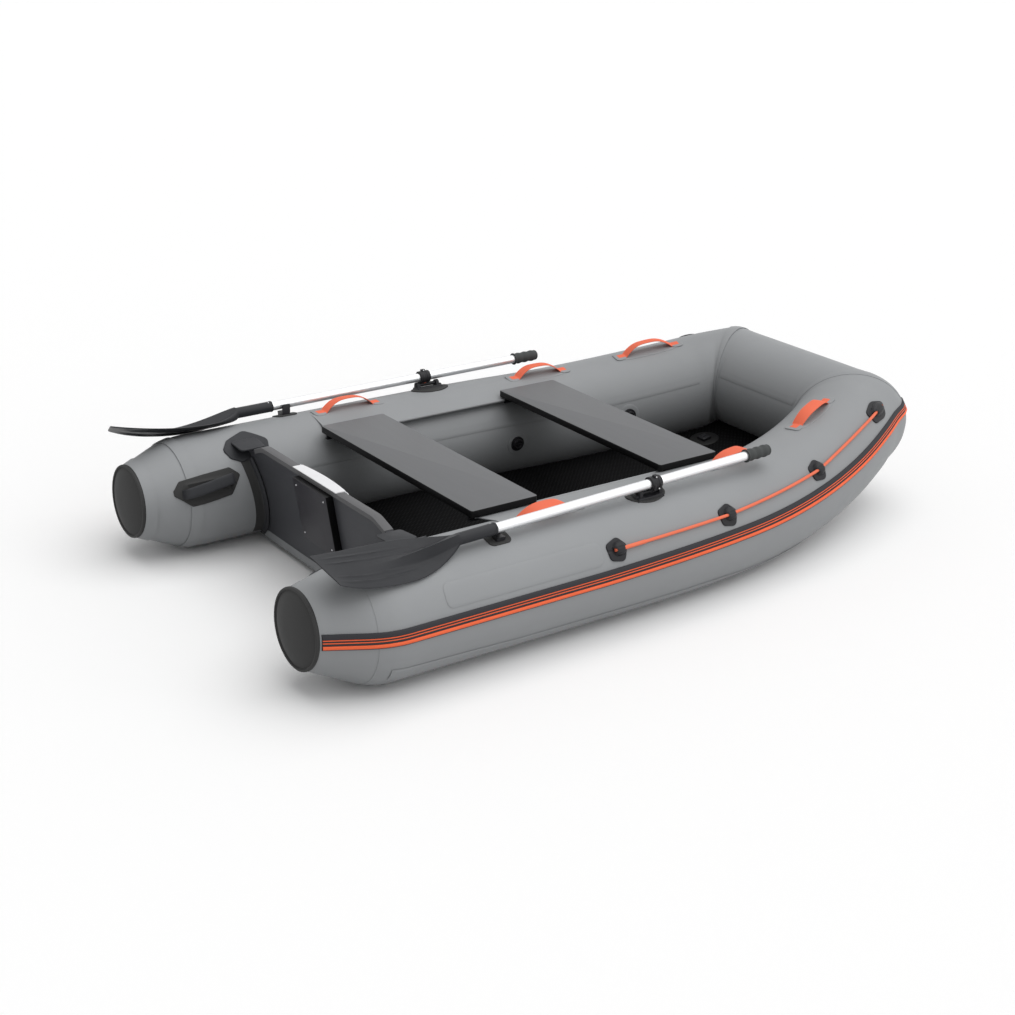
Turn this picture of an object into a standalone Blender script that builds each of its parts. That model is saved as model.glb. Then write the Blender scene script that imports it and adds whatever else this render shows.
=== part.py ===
"""Inflatable rowing boat with a transom: air chambers, inflatable deck, two sliding seats and two oars.

The frame has +X towards the bow, +Y to port and +Z up, in metres. Its origin is on the ground under
the middle of the boat. Stations are distances along the boat, measured forward from the plane of the
stern caps, and girth angles run round a side tube from 0 outboard, over 90 on top, to 180 inboard.
"""

from math import acos, asin, atan2, ceil, cos, degrees, hypot, pi, radians, sin, sqrt, tan

import bmesh
import bpy
from mathutils import Matrix, Vector

# Fits between pieces
GAP = 0.0003
SINK = 0.006
RUN_GAP = 0.0005

# Air chambers
TUBE_RADIUS = 0.189
TUBE_SIDES = 32
SIDE_AXIS_Y = 0.5817
CONE_STATION = 0.176
CONE_EASE = 0.36
CONE_END = CONE_STATION * (1 + CONE_EASE)
BEND_STATION = 0.924
RISE_STATION = 1.540
MITRE_STATION = 2.451
MITRE_Y = 0.321
BOW_RISE = 0.1178
LAST_SIDE_STATION = 2.31
BAFFLE_STATION = 1.74
CORNER_SWELL = 0.136
CORNER_POWER = 5.5
CORNER_INNER_RADIUS = 0.020
CORNER_DROP = 0.10
CORNER_LEAD = 0.00264
BOW_STRAIGHT_HALF = 0.18
CONE_STEPS = 3
STRAIGHT_STEPS = 2
BEND_STEPS = 7
BOW_BEND_STEPS = 5

# Stern cones and their caps
CAP_Y = SIDE_AXIS_Y - 0.0267
CAP_Z = TUBE_RADIUS + 0.018
CAP_RADIUS = 0.118
CAP_TILT = 0.03
CAP_RIM_WIDTH = 0.014
CAP_LIP = 0.004
CAP_THICKNESS = 0.011
CAP_GROOVE = 0.003
CAP_SIDES = 24

# Rub strake
STRAKE_HEIGHT = 0.047
STRAKE_PROUD = 0.0085
STRAKE_GROOVE = 0.0025
STRAKE_STERN_ANGLE = 0.131
STRAKE_BOW_ANGLE = 0.37
STRAKE_POWER = 1.25
STRAKE_STERN_STATION = 0.006
STRAKE_STRAIGHT_STEPS = 3
STRAKE_BEND_STEPS = 11

# Bottom sheet and inflatable deck
SHEET_THICKNESS = 0.003
SHEET_DROP = TUBE_RADIUS - 0.025
SHEET_STERN_Z = TUBE_RADIUS - 0.164
SHEET_RAMP_STATION = 0.60
SHEET_LIP_HEIGHT = 0.028
SHEET_LIP_THICKNESS = 0.003
DECK_THICKNESS = 0.040
DECK_UNDER_GAP = 0.0075
DECK_DROP = SHEET_DROP - DECK_THICKNESS - DECK_UNDER_GAP
DECK_ROUNDING = 0.010
DECK_SIDE_GAP = 0.002
DECK_STEPS = 13

# Transom
TRANSOM_STATION = 0.378
TRANSOM_THICKNESS = 0.026
TRANSOM_TOP = 2 * TUBE_RADIUS + 0.008
TRANSOM_RAKE = 10.0
TRANSOM_FOOT = TRANSOM_STATION + (TRANSOM_TOP - SHEET_STERN_Z) * tan(radians(TRANSOM_RAKE))
TRANSOM_SHOULDER_Y = SIDE_AXIS_Y - 0.168
TRANSOM_SHOULDER_LENGTH = 0.070
TRANSOM_SHOULDER_DROP = 0.030
TRANSOM_FLAT_HALF = TRANSOM_SHOULDER_Y - TRANSOM_SHOULDER_LENGTH
TRANSOM_SHOULDER_Z = TRANSOM_TOP - TRANSOM_SHOULDER_DROP
TRANSOM_CORNER_ANGLE = 128.0
TRANSOM_TUBE_GAP = 0.0065
TRIM_THICKNESS = 0.003
TRIM_DEPTH = 0.014
TRIM_END_INSET = 0.010
CHANNEL_TOP_ANGLE = 142.0
CHANNEL_BOTTOM_ANGLE = 229.0
CHANNEL_BASE = 0.004
CHANNEL_LIP = 0.016
CHANNEL_LIP_THICKNESS = 0.009
CHANNEL_FLANGE = 0.012
CHANNEL_LIP_TAPER = 0.7
CHANNEL_STEPS = 12

# Motor plates on the transom
MOTOR_PAD_WIDTH = 0.208
MOTOR_PAD_HEIGHT = 0.214
MOTOR_PAD_TOP = TRANSOM_TOP - 0.015
MOTOR_PAD_THICKNESS = 0.026
MOTOR_PAD_BEVEL = 0.002
INNER_PLATE_WIDTH = 0.266
INNER_PLATE_HORN = 0.020
INNER_PLATE_CORNER = 0.010
INNER_PLATE_THICKNESS = 0.003
INNER_PLATE_HEIGHT = 0.1316

# Transom holders
HOLDER_STATION = 0.396
HOLDER_ANGLE = 117.5
HOLDER_HALF_LENGTH = 0.084
HOLDER_HALF_HEIGHT = 0.064
HOLDER_THICKNESS = 0.005
HOLDER_LEDGE_WIDTH = 0.100
HOLDER_LEDGE_ROOT_ANGLE = 104.0
HOLDER_LEDGE_INNER_ANGLE = 123.0
HOLDER_LEDGE_TIP_Y = TRANSOM_SHOULDER_Y
HOLDER_LEDGE_TOP = TRANSOM_SHOULDER_Z + 0.0245
HOLDER_LEDGE_CLEARANCE = 0.002
HOLDER_CORNER = 0.012

# Stern carrying handles
STERN_HANDLE_STATION = 0.212
STERN_HANDLE_ANGLE = 157.0
STERN_HANDLE_HALF_LENGTH = 0.117
STERN_HANDLE_HALF_HEIGHT = 0.050
STERN_HANDLE_PAD = 0.005
STERN_HANDLE_SPAN = 0.084
STERN_HANDLE_RISE = 0.034
STERN_HANDLE_BAR_WIDTH = 0.032
STERN_HANDLE_BAR_THICKNESS = 0.012

# Seats and seat tracks
SEAT_TOP = 2 * TUBE_RADIUS + 0.002
SEAT_THICKNESS = 0.023
SEAT_BEVEL = 0.002
TRACK_START = 0.640
TRACK_END = 1.700
TRACK_STEPS = 9
TRACK_SHEET = 0.0025
TRACK_STAND_OFF = 0.002
TRACK_GLUE_ANGLE = 1.0
TRACK_FOOT_ANGLE = 3.0
AFT_SEAT_STATIONS = (TRACK_START + 0.021, TRACK_START + 0.271)
FORWARD_SEAT_STATIONS = (TRACK_END - 0.2875, TRACK_END - 0.040)
BEAD_RADIUS = 0.005
BEAD_Z = SEAT_TOP - SEAT_THICKNESS - 0.010
# The straight bead comes nearest to the tube at its forward end, and this far from it there
BEAD_CLEARANCE = 0.00421
BEAD_REACH = TUBE_RADIUS + TRACK_STAND_OFF + BEAD_CLEARANCE
TRACK_END_BEND = max(0.0, TRACK_END - BEND_STATION) / (MITRE_STATION - BEND_STATION)
TRACK_END_RISE = max(0.0, TRACK_END - RISE_STATION) / (MITRE_STATION - RISE_STATION)
TRACK_END_AXIS_Y = SIDE_AXIS_Y - (SIDE_AXIS_Y - MITRE_Y) * TRACK_END_BEND ** 3
TRACK_END_AXIS_Z = TUBE_RADIUS + BOW_RISE * TRACK_END_RISE ** 2
BEAD_Y = TRACK_END_AXIS_Y - sqrt(BEAD_REACH ** 2 - (BEAD_Z - TRACK_END_AXIS_Z) ** 2)
SEAT_HALF_LENGTH = BEAD_Y + 0.022
GUIDE_WALL = 0.0045
GUIDE_JAW_REACH = 0.0025
GUIDE_END_INSET = 0.006

# Air valves
VALVE_STATION = 1.465
VALVE_ANGLE = 181.0
BOW_VALVE_STATION = 1.977
BOW_VALVE_ANGLE = 176.0
VALVE_FLANGE_RADIUS = 0.0275
VALVE_FLANGE_SINK = 0.002
VALVE_FLANGE_PROUD = 0.003
VALVE_BARREL_RADIUS = 0.0165
VALVE_DEPTH = 0.026
VALVE_BORE_RADIUS = 0.0100
VALVE_CAP_RADIUS = 0.0185
VALVE_CAP_HEIGHT = 0.007
VALVE_STEM_DEPTH = 0.012
VALVE_SIDES = 16
DECK_VALVE_STATION = 2.19
DECK_VALVE_Y = 0.165
DECK_VALVE_RADIUS = 0.056
DECK_VALVE_THICKNESS = 0.0025
DECK_VALVE_LID_SIZE = 0.036
DECK_VALVE_LID_HEIGHT = 0.010

# Webbing grab handles
GRAB_STATIONS = (0.854, 1.672, 2.156)
GRAB_ANGLES = (92.0, 97.0, 97.0)
GRAB_NAMES = ("aft", "mid", "fore")
GRAB_HALF_SPAN = 0.087
GRAB_TAIL = 0.030
GRAB_RISE = 0.030
GRAB_WIDTH = 0.040
GRAB_THICKNESS = 0.003
GRAB_PATCH_HALF_LENGTH = 0.135
GRAB_PATCH_HALF_WIDTH = 0.031
GRAB_PATCH_THICKNESS = 0.002

# Grab lines and their fairleads
FAIRLEAD_STATIONS = (0.993, 1.452, 1.914, 2.332)
FAIRLEAD_ANGLES = (31.0, 33.0, 38.6, 45.0)
LINE_DIAMETER = 0.011
LINE_HOLE_CLEARANCE = 0.0010
LINE_HOLE_RADIUS = 0.5 * LINE_DIAMETER + LINE_HOLE_CLEARANCE
FAIRLEAD_HALF_SIZE = 0.036
FAIRLEAD_PAD = 0.004
FAIRLEAD_WALL = 0.003
LINE_HEIGHT_IN_FAIRLEAD = FAIRLEAD_PAD + LINE_HOLE_RADIUS + 0.0005
LINE_HEIGHT_ON_TUBE = 0.5 * LINE_DIAMETER + 0.002
LINE_FAIRLEAD_STRAIGHT = 0.045
LINE_TAIL = 0.040
LINE_POINT_SPACING = 0.034
FAIRLEAD_BOSS = LINE_HEIGHT_IN_FAIRLEAD + LINE_HOLE_RADIUS + FAIRLEAD_WALL

# Oarlocks
OARLOCK_STATION = 1.211
OARLOCK_ANGLE = 78.0
OARLOCK_PATCH_HALF_LENGTH = 0.081
OARLOCK_PATCH_HALF_WIDTH = 0.044
OARLOCK_PATCH_THICKNESS = 0.004
SHAFT_RADIUS = 0.0155
PEDESTAL_LENGTH = 0.110
PEDESTAL_WIDTH = 0.044
PEDESTAL_TOP = 0.009
PIN_RADIUS = 0.004
KNUCKLE_BARREL_RADIUS = 0.0065
PIN_HEIGHT = PEDESTAL_TOP + KNUCKLE_BARREL_RADIUS + 0.0015
LUG_RADIUS = 0.0105
LUG_THICKNESS = 0.014
NEAR_LUG_DISTANCE = 0.0225
FAR_LUG_DISTANCE = 0.0450
PIVOT_OFFSET = 0.015
SHAFT_ABOVE_PIN = SHAFT_RADIUS + KNUCKLE_BARREL_RADIUS + 0.006
SPIGOT_RADIUS = 0.006
SPIGOT_TOP_GAP = 0.0008

# Oars
SHAFT_WALL = 0.0015
SHAFT_SIDES = 20
SHAFT_TOE_IN = 0.0248
SHAFT_RISE = 0.0168
SHAFT_AFT = -0.700
COLLAR_RADIUS = SHAFT_RADIUS + 0.005
COLLAR_HALF_LENGTH = 0.018
COLLAR_BOSS_RADIUS = 0.0100
COLLAR_EAR_HEIGHT = 0.008
COLLAR_EAR_LENGTH = 0.016
COLLAR_EAR_WIDTH = 0.014
COLLAR_EAR_BEVEL = 0.001
GRIP_AFT = 0.400
GRIP_LENGTH = 0.106
GRIP_END_WALL = 0.011
GRIP_RADIUS = SHAFT_RADIUS + 0.0048
GRIP_FLANGE = 0.0017
GRIP_FLUTES = 3
BLADE_SLEEVE_START = -0.622
BLADE_SLEEVE_RADIUS = SHAFT_RADIUS + 0.003
BLADE_THROAT = -0.715
BLADE_WIDEST = -0.982
BLADE_TIP = -1.205
BLADE_HALF_WIDTH = 0.079
BLADE_TIP_HALF_WIDTH = 0.061
BLADE_THICKNESS = 0.006
BLADE_SPOON = 0.024
BLADE_TIP_LIFT = 0.016
BLADE_TILT = 9.2
BLADE_STEPS = 13

# Oar clips
CLIP_STATION = 0.622
CLIP_LENGTH = 0.030
CLIP_SIDE_CLEARANCE = 0.0040
CLIP_FLOOR_CLEARANCE = 0.0110
CLIP_WALL = 0.005
CLIP_PATCH_HALF_LENGTH = 0.040
CLIP_PATCH_HALF_WIDTH = 0.031
CLIP_PATCH_THICKNESS = 0.004

# Origin of the frame, as a station: the middle of the whole boat
STERN_END = -(CAP_RADIUS * sin(CAP_TILT) + CAP_THICKNESS * cos(CAP_TILT))
BOW_END = MITRE_STATION + TUBE_RADIUS + CORNER_LEAD
ORIGIN_STATION = 0.5 * (STERN_END + BOW_END)

SIDES = (("port", 1), ("starboard", -1))

COLOURS = {
    "pvc": ((0.27, 0.28, 0.29), 0.55, 0.0),
    "dark_pvc": ((0.02, 0.02, 0.022), 0.6, 0.0),
    "black_rubber": ((0.022, 0.022, 0.024), 0.55, 0.0),
    "seat": ((0.20, 0.205, 0.21), 0.6, 0.0),
    "board": ((0.05, 0.05, 0.055), 0.5, 0.0),
    "white_plate": ((0.8, 0.8, 0.8), 0.45, 0.0),
    "orange": ((0.85, 0.16, 0.07), 0.6, 0.0),
    "aluminium": ((0.78, 0.79, 0.80), 0.3, 1.0),
    "grey_trim": ((0.12, 0.12, 0.125), 0.5, 0.0),
}


def clear_scene():
    for item in list(bpy.data.objects):
        bpy.data.objects.remove(item, do_unlink=True)


def give_material(item, finish):
    """Give the object its own Principled material."""
    colour, roughness, metallic = COLOURS[finish]
    material = bpy.data.materials.new(item.name + "_material")
    material.use_nodes = True
    shader = material.node_tree.nodes["Principled BSDF"]
    shader.inputs["Base Color"].default_value = (*colour, 1.0)
    shader.inputs["Roughness"].default_value = roughness
    shader.inputs["Metallic"].default_value = metallic
    item.data.materials.append(material)


def object_from_bmesh(name, mesh_data, finish=None):
    bmesh.ops.recalc_face_normals(mesh_data, faces=mesh_data.faces)
    mesh = bpy.data.meshes.new(name)
    mesh_data.to_mesh(mesh)
    mesh_data.free()
    mesh.shade_smooth()
    mesh.set_sharp_from_angle(angle=radians(32))
    item = bpy.data.objects.new(name, mesh)
    bpy.context.scene.collection.objects.link(item)
    if finish:
        give_material(item, finish)
    return item


def make_tool(item):
    """Mark an object as one that only shapes others."""
    item.hide_render = True
    item.display_type = "WIRE"
    return item


def combine(item, tool, operation):
    """Union or difference with another object, which becomes a hidden tool."""
    make_tool(tool)
    modifier = item.modifiers.new(operation.lower() + "_" + tool.name, "BOOLEAN")
    modifier.operation = operation
    modifier.solver = "EXACT"
    modifier.object = tool


def skin(data, near, far):
    """Two triangles for each side between two rings of vertices, cut alike on all of them."""
    count = len(near)
    for i in range(count):
        j = (i + 1) % count
        data.faces.new((near[i], near[j], far[j]))
        data.faces.new((near[i], far[j], far[i]))


def loft(name, rings, finish=None, ring_ends=True):
    """Skin a list of rings of points, with flat ends, or closed end to end."""
    data = bmesh.new()
    verts = [[data.verts.new(point) for point in ring] for ring in rings]
    pairs = list(zip(verts, verts[1:]))
    if not ring_ends:
        pairs.append((verts[-1], verts[0]))
    for near, far in pairs:
        skin(data, near, far)
    if ring_ends:
        data.faces.new(verts[0])
        data.faces.new(verts[-1])
    return object_from_bmesh(name, data, finish)


def prism(name, base, top, finish=None):
    """A solid between two outlines of the same number of points, with flat ends."""
    data = bmesh.new()
    low = [data.verts.new(point) for point in base]
    high = [data.verts.new(point) for point in top]
    data.faces.new(low)
    data.faces.new(high)
    for i in range(len(low)):
        j = (i + 1) % len(low)
        data.faces.new((low[i], low[j], high[j], high[i]))
    return object_from_bmesh(name, data, finish)


def turned(name, matrix, profile, sides, finish=None, bored=False):
    """Turn (radius, height) points round the matrix's Z axis; a bored profile closes on itself."""
    rings = []
    for radius, height in profile:
        ring = []
        for i in range(sides):
            angle = 2 * pi * i / sides
            ring.append(matrix @ Vector((radius * cos(angle), radius * sin(angle), height)))
        rings.append(ring)
    return loft(name, rings, finish, ring_ends=not bored)


def block(name, matrix, centre, size, bevel=0.0, finish=None):
    data = bmesh.new()
    bmesh.ops.create_cube(data, size=1.0)
    bmesh.ops.scale(data, vec=size, verts=data.verts)
    if bevel:
        bmesh.ops.bevel(
            data, geom=data.edges, offset=bevel, segments=1, affect="EDGES", profile=0.5
        )
    bmesh.ops.translate(data, vec=centre, verts=data.verts)
    bmesh.ops.transform(data, matrix=matrix, verts=data.verts)
    return object_from_bmesh(name, data, finish)


def rod(name, matrix, radius, low, high, sides=16, finish=None):
    return turned(name, matrix, [(radius, low), (radius, high)], sides, finish)


def oval(half_length, half_width, power, count):
    """Outline of a superellipse, counter-clockwise."""
    points = []
    for i in range(count):
        angle = 2 * pi * (i + 0.5) / count
        c, s = cos(angle), sin(angle)
        u = half_length * (abs(c) ** (2 / power)) * (1 if c > 0 else -1)
        v = half_width * (abs(s) ** (2 / power)) * (1 if s > 0 else -1)
        points.append((u, v))
    return points


def rounded(corners, radius, steps=3):
    """Outline with an arc in place of each corner."""
    points = []
    count = len(corners)
    for i in range(count):
        here = Vector(corners[i])
        back = (Vector(corners[i - 1]) - here).normalized()
        ahead = (Vector(corners[(i + 1) % count]) - here).normalized()
        half = 0.5 * back.angle(ahead)
        centre = here + (back + ahead).normalized() * (radius / sin(half))
        start = here + back * (radius / tan(half)) - centre
        end = here + ahead * (radius / tan(half)) - centre
        first = atan2(start.y, start.x)
        turn = atan2(end.y, end.x) - first
        turn = (turn + pi) % (2 * pi) - pi
        for k in range(steps + 1):
            angle = first + turn * k / steps
            points.append((centre.x + radius * cos(angle), centre.y + radius * sin(angle)))
    return points


# Shape of the hull: every section gives a centre, outboard and up directions and two radii.


def side_axis_y(station):
    spread = MITRE_STATION - BEND_STATION
    inward = (SIDE_AXIS_Y - MITRE_Y) * (max(0.0, station - BEND_STATION) / spread) ** 3
    return SIDE_AXIS_Y - inward


def side_axis_z(station):
    spread = MITRE_STATION - RISE_STATION
    return TUBE_RADIUS + BOW_RISE * (max(0.0, station - RISE_STATION) / spread) ** 2


def cone_part(station):
    """Share of the way from the cap to the full tube: straight, then rounded into the tube."""
    part = station / CONE_STATION
    if part <= 1 - CONE_EASE:
        return part
    return part - (part - 1 + CONE_EASE) ** 2 / (4 * CONE_EASE)


def side_section(station, side):
    """Section of a side tube or its stern cone, square to its axis."""
    if station < CONE_END:
        part = cone_part(station)
        tilt = CAP_TILT * (1 - part)
        radius = CAP_RADIUS + (TUBE_RADIUS - CAP_RADIUS) * part
        y = CAP_Y + (SIDE_AXIS_Y - CAP_Y) * part
        z = CAP_Z + (TUBE_RADIUS - CAP_Z) * part
        centre = Vector((station - ORIGIN_STATION, side * y, z))
        return centre, Vector((0, side, 0)), Vector((sin(tilt), 0, cos(tilt))), radius, radius
    step = 1e-4
    slope_y = (side_axis_y(station + step) - side_axis_y(station - step)) / (2 * step)
    slope_z = (side_axis_z(station + step) - side_axis_z(station - step)) / (2 * step)
    along = Vector((1, side * slope_y, slope_z)).normalized()
    out = Vector((-slope_y, side, 0)).normalized()
    up = along.cross(out) * side
    centre = Vector((station - ORIGIN_STATION, side * side_axis_y(station), side_axis_z(station)))
    return centre, out, up, TUBE_RADIUS, TUBE_RADIUS


def corner_section(turn, side):
    """Section through a mitred bow corner; turn runs from -1 at the side tube to 1 at the bow."""
    heading = atan2(3 * (SIDE_AXIS_Y - MITRE_Y), MITRE_STATION - BEND_STATION)
    half_corner = 0.5 * (pi / 2 - heading)
    mitre = Vector((sin(heading + half_corner), cos(heading + half_corner), 0))
    centre_z = TUBE_RADIUS + BOW_RISE * (1 - CORNER_DROP * max(0.0, -2 * turn))
    inner_reach = TUBE_RADIUS / cos(half_corner) + CORNER_INNER_RADIUS
    pivot = Vector((MITRE_STATION, MITRE_Y, 0)) - mitre * inner_reach
    swing = heading + half_corner + turn * half_corner
    out = Vector((sin(swing), cos(swing), 0))
    width = TUBE_RADIUS * (1 + CORNER_SWELL * (1 - turn * turn) ** CORNER_POWER)
    centre = pivot + out * (CORNER_INNER_RADIUS + width)
    centre = Vector((centre.x - ORIGIN_STATION, side * centre.y, centre_z))
    return centre, Vector((out.x, side * out.y, 0)), Vector((0, 0, 1)), width, TUBE_RADIUS


def bow_section(y):
    centre = Vector((MITRE_STATION - ORIGIN_STATION, y, TUBE_RADIUS + BOW_RISE))
    return centre, Vector((1, 0, 0)), Vector((0, 0, 1)), TUBE_RADIUS, TUBE_RADIUS


def on_section(section, angle, height=0.0):
    """Point at a girth angle in radians and a height over the surface."""
    centre, out, up, wide, tall = section
    return centre + out * ((wide + height) * cos(angle)) + up * ((tall + height) * sin(angle))


def section_ring(section, extra=0.0):
    """Ring whose facets touch the true round surface, so one facet lies flat underneath."""
    centre, out, up, wide, tall = section
    grow = 1 / cos(pi / TUBE_SIDES)
    ring = []
    for i in range(TUBE_SIDES):
        angle = 2 * pi * (i + 0.5) / TUBE_SIDES
        sideways = out * ((wide + extra) * grow * cos(angle))
        ring.append(centre + sideways + up * ((tall + extra) * grow * sin(angle)))
    return ring


def spread(start, end, steps, last=True):
    """Evenly spaced values from start to end."""
    return [start + (end - start) * i / steps for i in range(steps + (1 if last else 0))]


def cone_stations(start):
    return [start] + spread(CONE_STATION * (1 - CONE_EASE), CONE_END, CONE_STEPS, last=False)


def chamber_stations():
    stations = cone_stations(0.0)
    stations += spread(CONE_END, BEND_STATION, STRAIGHT_STEPS, last=False)
    stations += spread(BEND_STATION, BAFFLE_STATION, BEND_STEPS)
    return stations


def bow_sections():
    """Sections of the bow chamber from the port baffle round to the starboard one."""
    stations = spread(BAFFLE_STATION, LAST_SIDE_STATION, BOW_BEND_STEPS)
    stations[0] += GAP
    sections = [side_section(station, 1) for station in stations]
    sections += [corner_section(turn, 1) for turn in (-0.5, 0.0, 0.5)]
    sections += [bow_section(y) for y in (BOW_STRAIGHT_HALF, 0.0, -BOW_STRAIGHT_HALF)]
    sections += [corner_section(turn, -1) for turn in (0.5, 0.0, -0.5)]
    sections += [side_section(station, -1) for station in reversed(stations)]
    return sections


def tube_point(station, angle_degrees, height, side):
    return on_section(side_section(station, side), radians(angle_degrees), height)


def surface_frame(station, angle_degrees, side):
    """Matrix on the tube's surface: X forward along the tube, Z straight out of the surface."""
    centre, out, up, wide, tall = side_section(station, side)
    angle = radians(angle_degrees)
    normal = (out * cos(angle) + up * sin(angle)).normalized()
    place = centre + out * (wide * cos(angle)) + up * (tall * sin(angle))
    along = out.cross(up) * -side
    if along.x < 0:
        along = -along
    along = (along - normal * along.dot(normal)).normalized()
    across = normal.cross(along)
    matrix = Matrix((along, across, normal)).transposed().to_4x4()
    matrix.translation = place
    return matrix


def hull_clearance():
    """The outside of all three chambers, grown by the gap, that trims what is glued to them."""
    port = [side_section(station, 1) for station in chamber_stations()]
    starboard = [side_section(station, -1) for station in reversed(chamber_stations())]
    sections = port + bow_sections() + starboard
    rings = [section_ring(section, GAP) for section in sections]
    return make_tool(loft("hull_clearance", rings))


def wrapped_pad(name, station, angle, outline, heights, side, finish=None):
    """A pad that follows the tube; heights are (scale of the outline, height over the surface)."""

    def place(u, v, height):
        return tube_point(station + u, angle + degrees(v / TUBE_RADIUS), height, side)

    rings = [[place(u, v, -SINK) for u, v in outline]]
    for scale, height in heights:
        rings.append([place(u * scale, v * scale, height) for u, v in outline])
    data = bmesh.new()
    verts = [[data.verts.new(point) for point in ring] for ring in rings]
    count = len(outline)
    for near, far in zip(verts, verts[1:]):
        skin(data, near, far)
    for ring, height in ((verts[0], -SINK), (verts[-1], heights[-1][1])):
        centre = data.verts.new(place(0.0, 0.0, height))
        for i in range(count):
            data.faces.new((ring[i], ring[(i + 1) % count], centre))
    return object_from_bmesh(name, data, finish)


def arch(name, station, angle, path, width, thickness, side, finish=None):
    """A strap or bar along the tube that follows a path of (distance along, height) points."""
    rings = []
    for i, (u, height) in enumerate(path):
        before = path[max(0, i - 1)]
        after = path[min(len(path) - 1, i + 1)]
        run, rise = after[0] - before[0], after[1] - before[1]
        length = hypot(run, rise)
        ring = []
        for across, over in ((-1, -1), (1, -1), (1, 1), (-1, 1)):
            shift = 0.5 * over * thickness
            du, dh = -rise / length * shift, run / length * shift
            turn = degrees(0.5 * across * width / TUBE_RADIUS)
            ring.append(tube_point(station + u + du, angle + turn, height + dh, side))
        rings.append(ring)
    return loft(name, rings, finish)


# Air chambers and what closes the hull


def valve_pocket(name, matrix):
    """Stepped hole that takes the valve's flange and barrel."""
    profile = [
        (VALVE_BARREL_RADIUS + GAP, -VALVE_DEPTH - 2 * GAP),
        (VALVE_BARREL_RADIUS + GAP, -VALVE_FLANGE_SINK - GAP),
        (VALVE_FLANGE_RADIUS + GAP, -VALVE_FLANGE_SINK - GAP),
        (VALVE_FLANGE_RADIUS + GAP, 2 * SINK),
    ]
    return turned(name, matrix, profile, VALVE_SIDES)


def make_chambers():
    for name, side in SIDES:
        rings = [section_ring(side_section(s, side)) for s in chamber_stations()]
        if side < 0:
            rings.reverse()
        tube = loft(name + "_tube", rings, "pvc")
        matrix = surface_frame(VALVE_STATION, VALVE_ANGLE, side)
        combine(tube, valve_pocket(name + "_valve_pocket", matrix), "DIFFERENCE")
    bow_rings = [section_ring(section) for section in bow_sections()]
    bow = loft("bow_tube", bow_rings, "pvc")
    matrix = surface_frame(BOW_VALVE_STATION, BOW_VALVE_ANGLE, 1)
    combine(bow, valve_pocket("bow_valve_pocket", matrix), "DIFFERENCE")


def make_stern_caps():
    for name, side in SIDES:
        centre, out, up, _, _ = side_section(0.0, side)
        aft = -(out.cross(up) * side)
        if aft.x > 0:
            aft = -aft
        matrix = Matrix((out, aft.cross(out), aft)).transposed().to_4x4()
        matrix.translation = centre
        inner = CAP_RADIUS - CAP_RIM_WIDTH
        profile = [
            (CAP_RADIUS + CAP_LIP, GAP),
            (CAP_RADIUS + CAP_LIP, CAP_THICKNESS - CAP_LIP),
            (CAP_RADIUS, CAP_THICKNESS),
            (inner, CAP_THICKNESS),
            (inner - CAP_GROOVE, CAP_THICKNESS - CAP_GROOVE),
            (0.6 * inner, CAP_THICKNESS),
        ]
        turned(name + "_stern_cap", matrix, profile, CAP_SIDES, "black_rubber")


def strake_angle(station):
    part = (station - BEND_STATION) / (MITRE_STATION - BEND_STATION)
    rise = STRAKE_BOW_ANGLE - STRAKE_STERN_ANGLE
    return STRAKE_STERN_ANGLE + rise * min(1.0, max(0.0, part)) ** STRAKE_POWER


def make_rub_strake(clearance):
    """One ribbed strip from the port stern, round the bow, to the starboard stern."""
    half = 0.5 * STRAKE_HEIGHT
    low = STRAKE_PROUD - STRAKE_GROOVE
    profile = [
        (-half, -SINK),
        (-half, 0.6 * STRAKE_PROUD),
        (-0.75 * half, STRAKE_PROUD),
        (-0.30 * half, STRAKE_PROUD),
        (-0.15 * half, low),
        (0.05 * half, STRAKE_PROUD),
        (0.70 * half, low),
        (half, 0.4 * STRAKE_PROUD),
        (half, -SINK),
    ]

    def ring(section, angle):
        return [on_section(section, angle + v / TUBE_RADIUS, h) for v, h in profile]

    stations = cone_stations(STRAKE_STERN_STATION)
    stations += spread(CONE_END, BEND_STATION, STRAKE_STRAIGHT_STEPS, last=False)
    stations += spread(BEND_STATION, LAST_SIDE_STATION, STRAKE_BEND_STEPS)
    rings = [ring(side_section(s, 1), strake_angle(s)) for s in stations]
    for turn in (-0.7, -0.35, 0.0, 0.35, 0.7):
        rings.append(ring(corner_section(turn, 1), STRAKE_BOW_ANGLE))
    for y in (0.8 * BOW_STRAIGHT_HALF, -0.8 * BOW_STRAIGHT_HALF):
        rings.append(ring(bow_section(y), STRAKE_BOW_ANGLE))
    for turn in (0.7, 0.35, 0.0, -0.35, -0.7):
        rings.append(ring(corner_section(turn, -1), STRAKE_BOW_ANGLE))
    rings += [ring(side_section(s, -1), strake_angle(s)) for s in reversed(stations)]
    strake = loft("rub_strake", rings, "black_rubber")
    combine(strake, clearance, "DIFFERENCE")


def inner_point(station, z, gap):
    """Point on a side tube's inner side below its axis, at a given height over the ground."""
    section = side_section(station, 1)
    drop = section[0].z - z
    angle = pi + asin(drop / (TUBE_RADIUS + gap))
    return on_section(section, angle, gap)


def ramp(station, stern_z, drop, foot):
    """Height of a floor layer: parallel to the tubes, and rising to the transom at the stern."""
    level = side_axis_z(station) - drop
    if station >= foot:
        return level
    stern = TRANSOM_FOOT
    return stern_z + (side_axis_z(foot) - drop - stern_z) * (station - stern) / (foot - stern)


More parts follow.
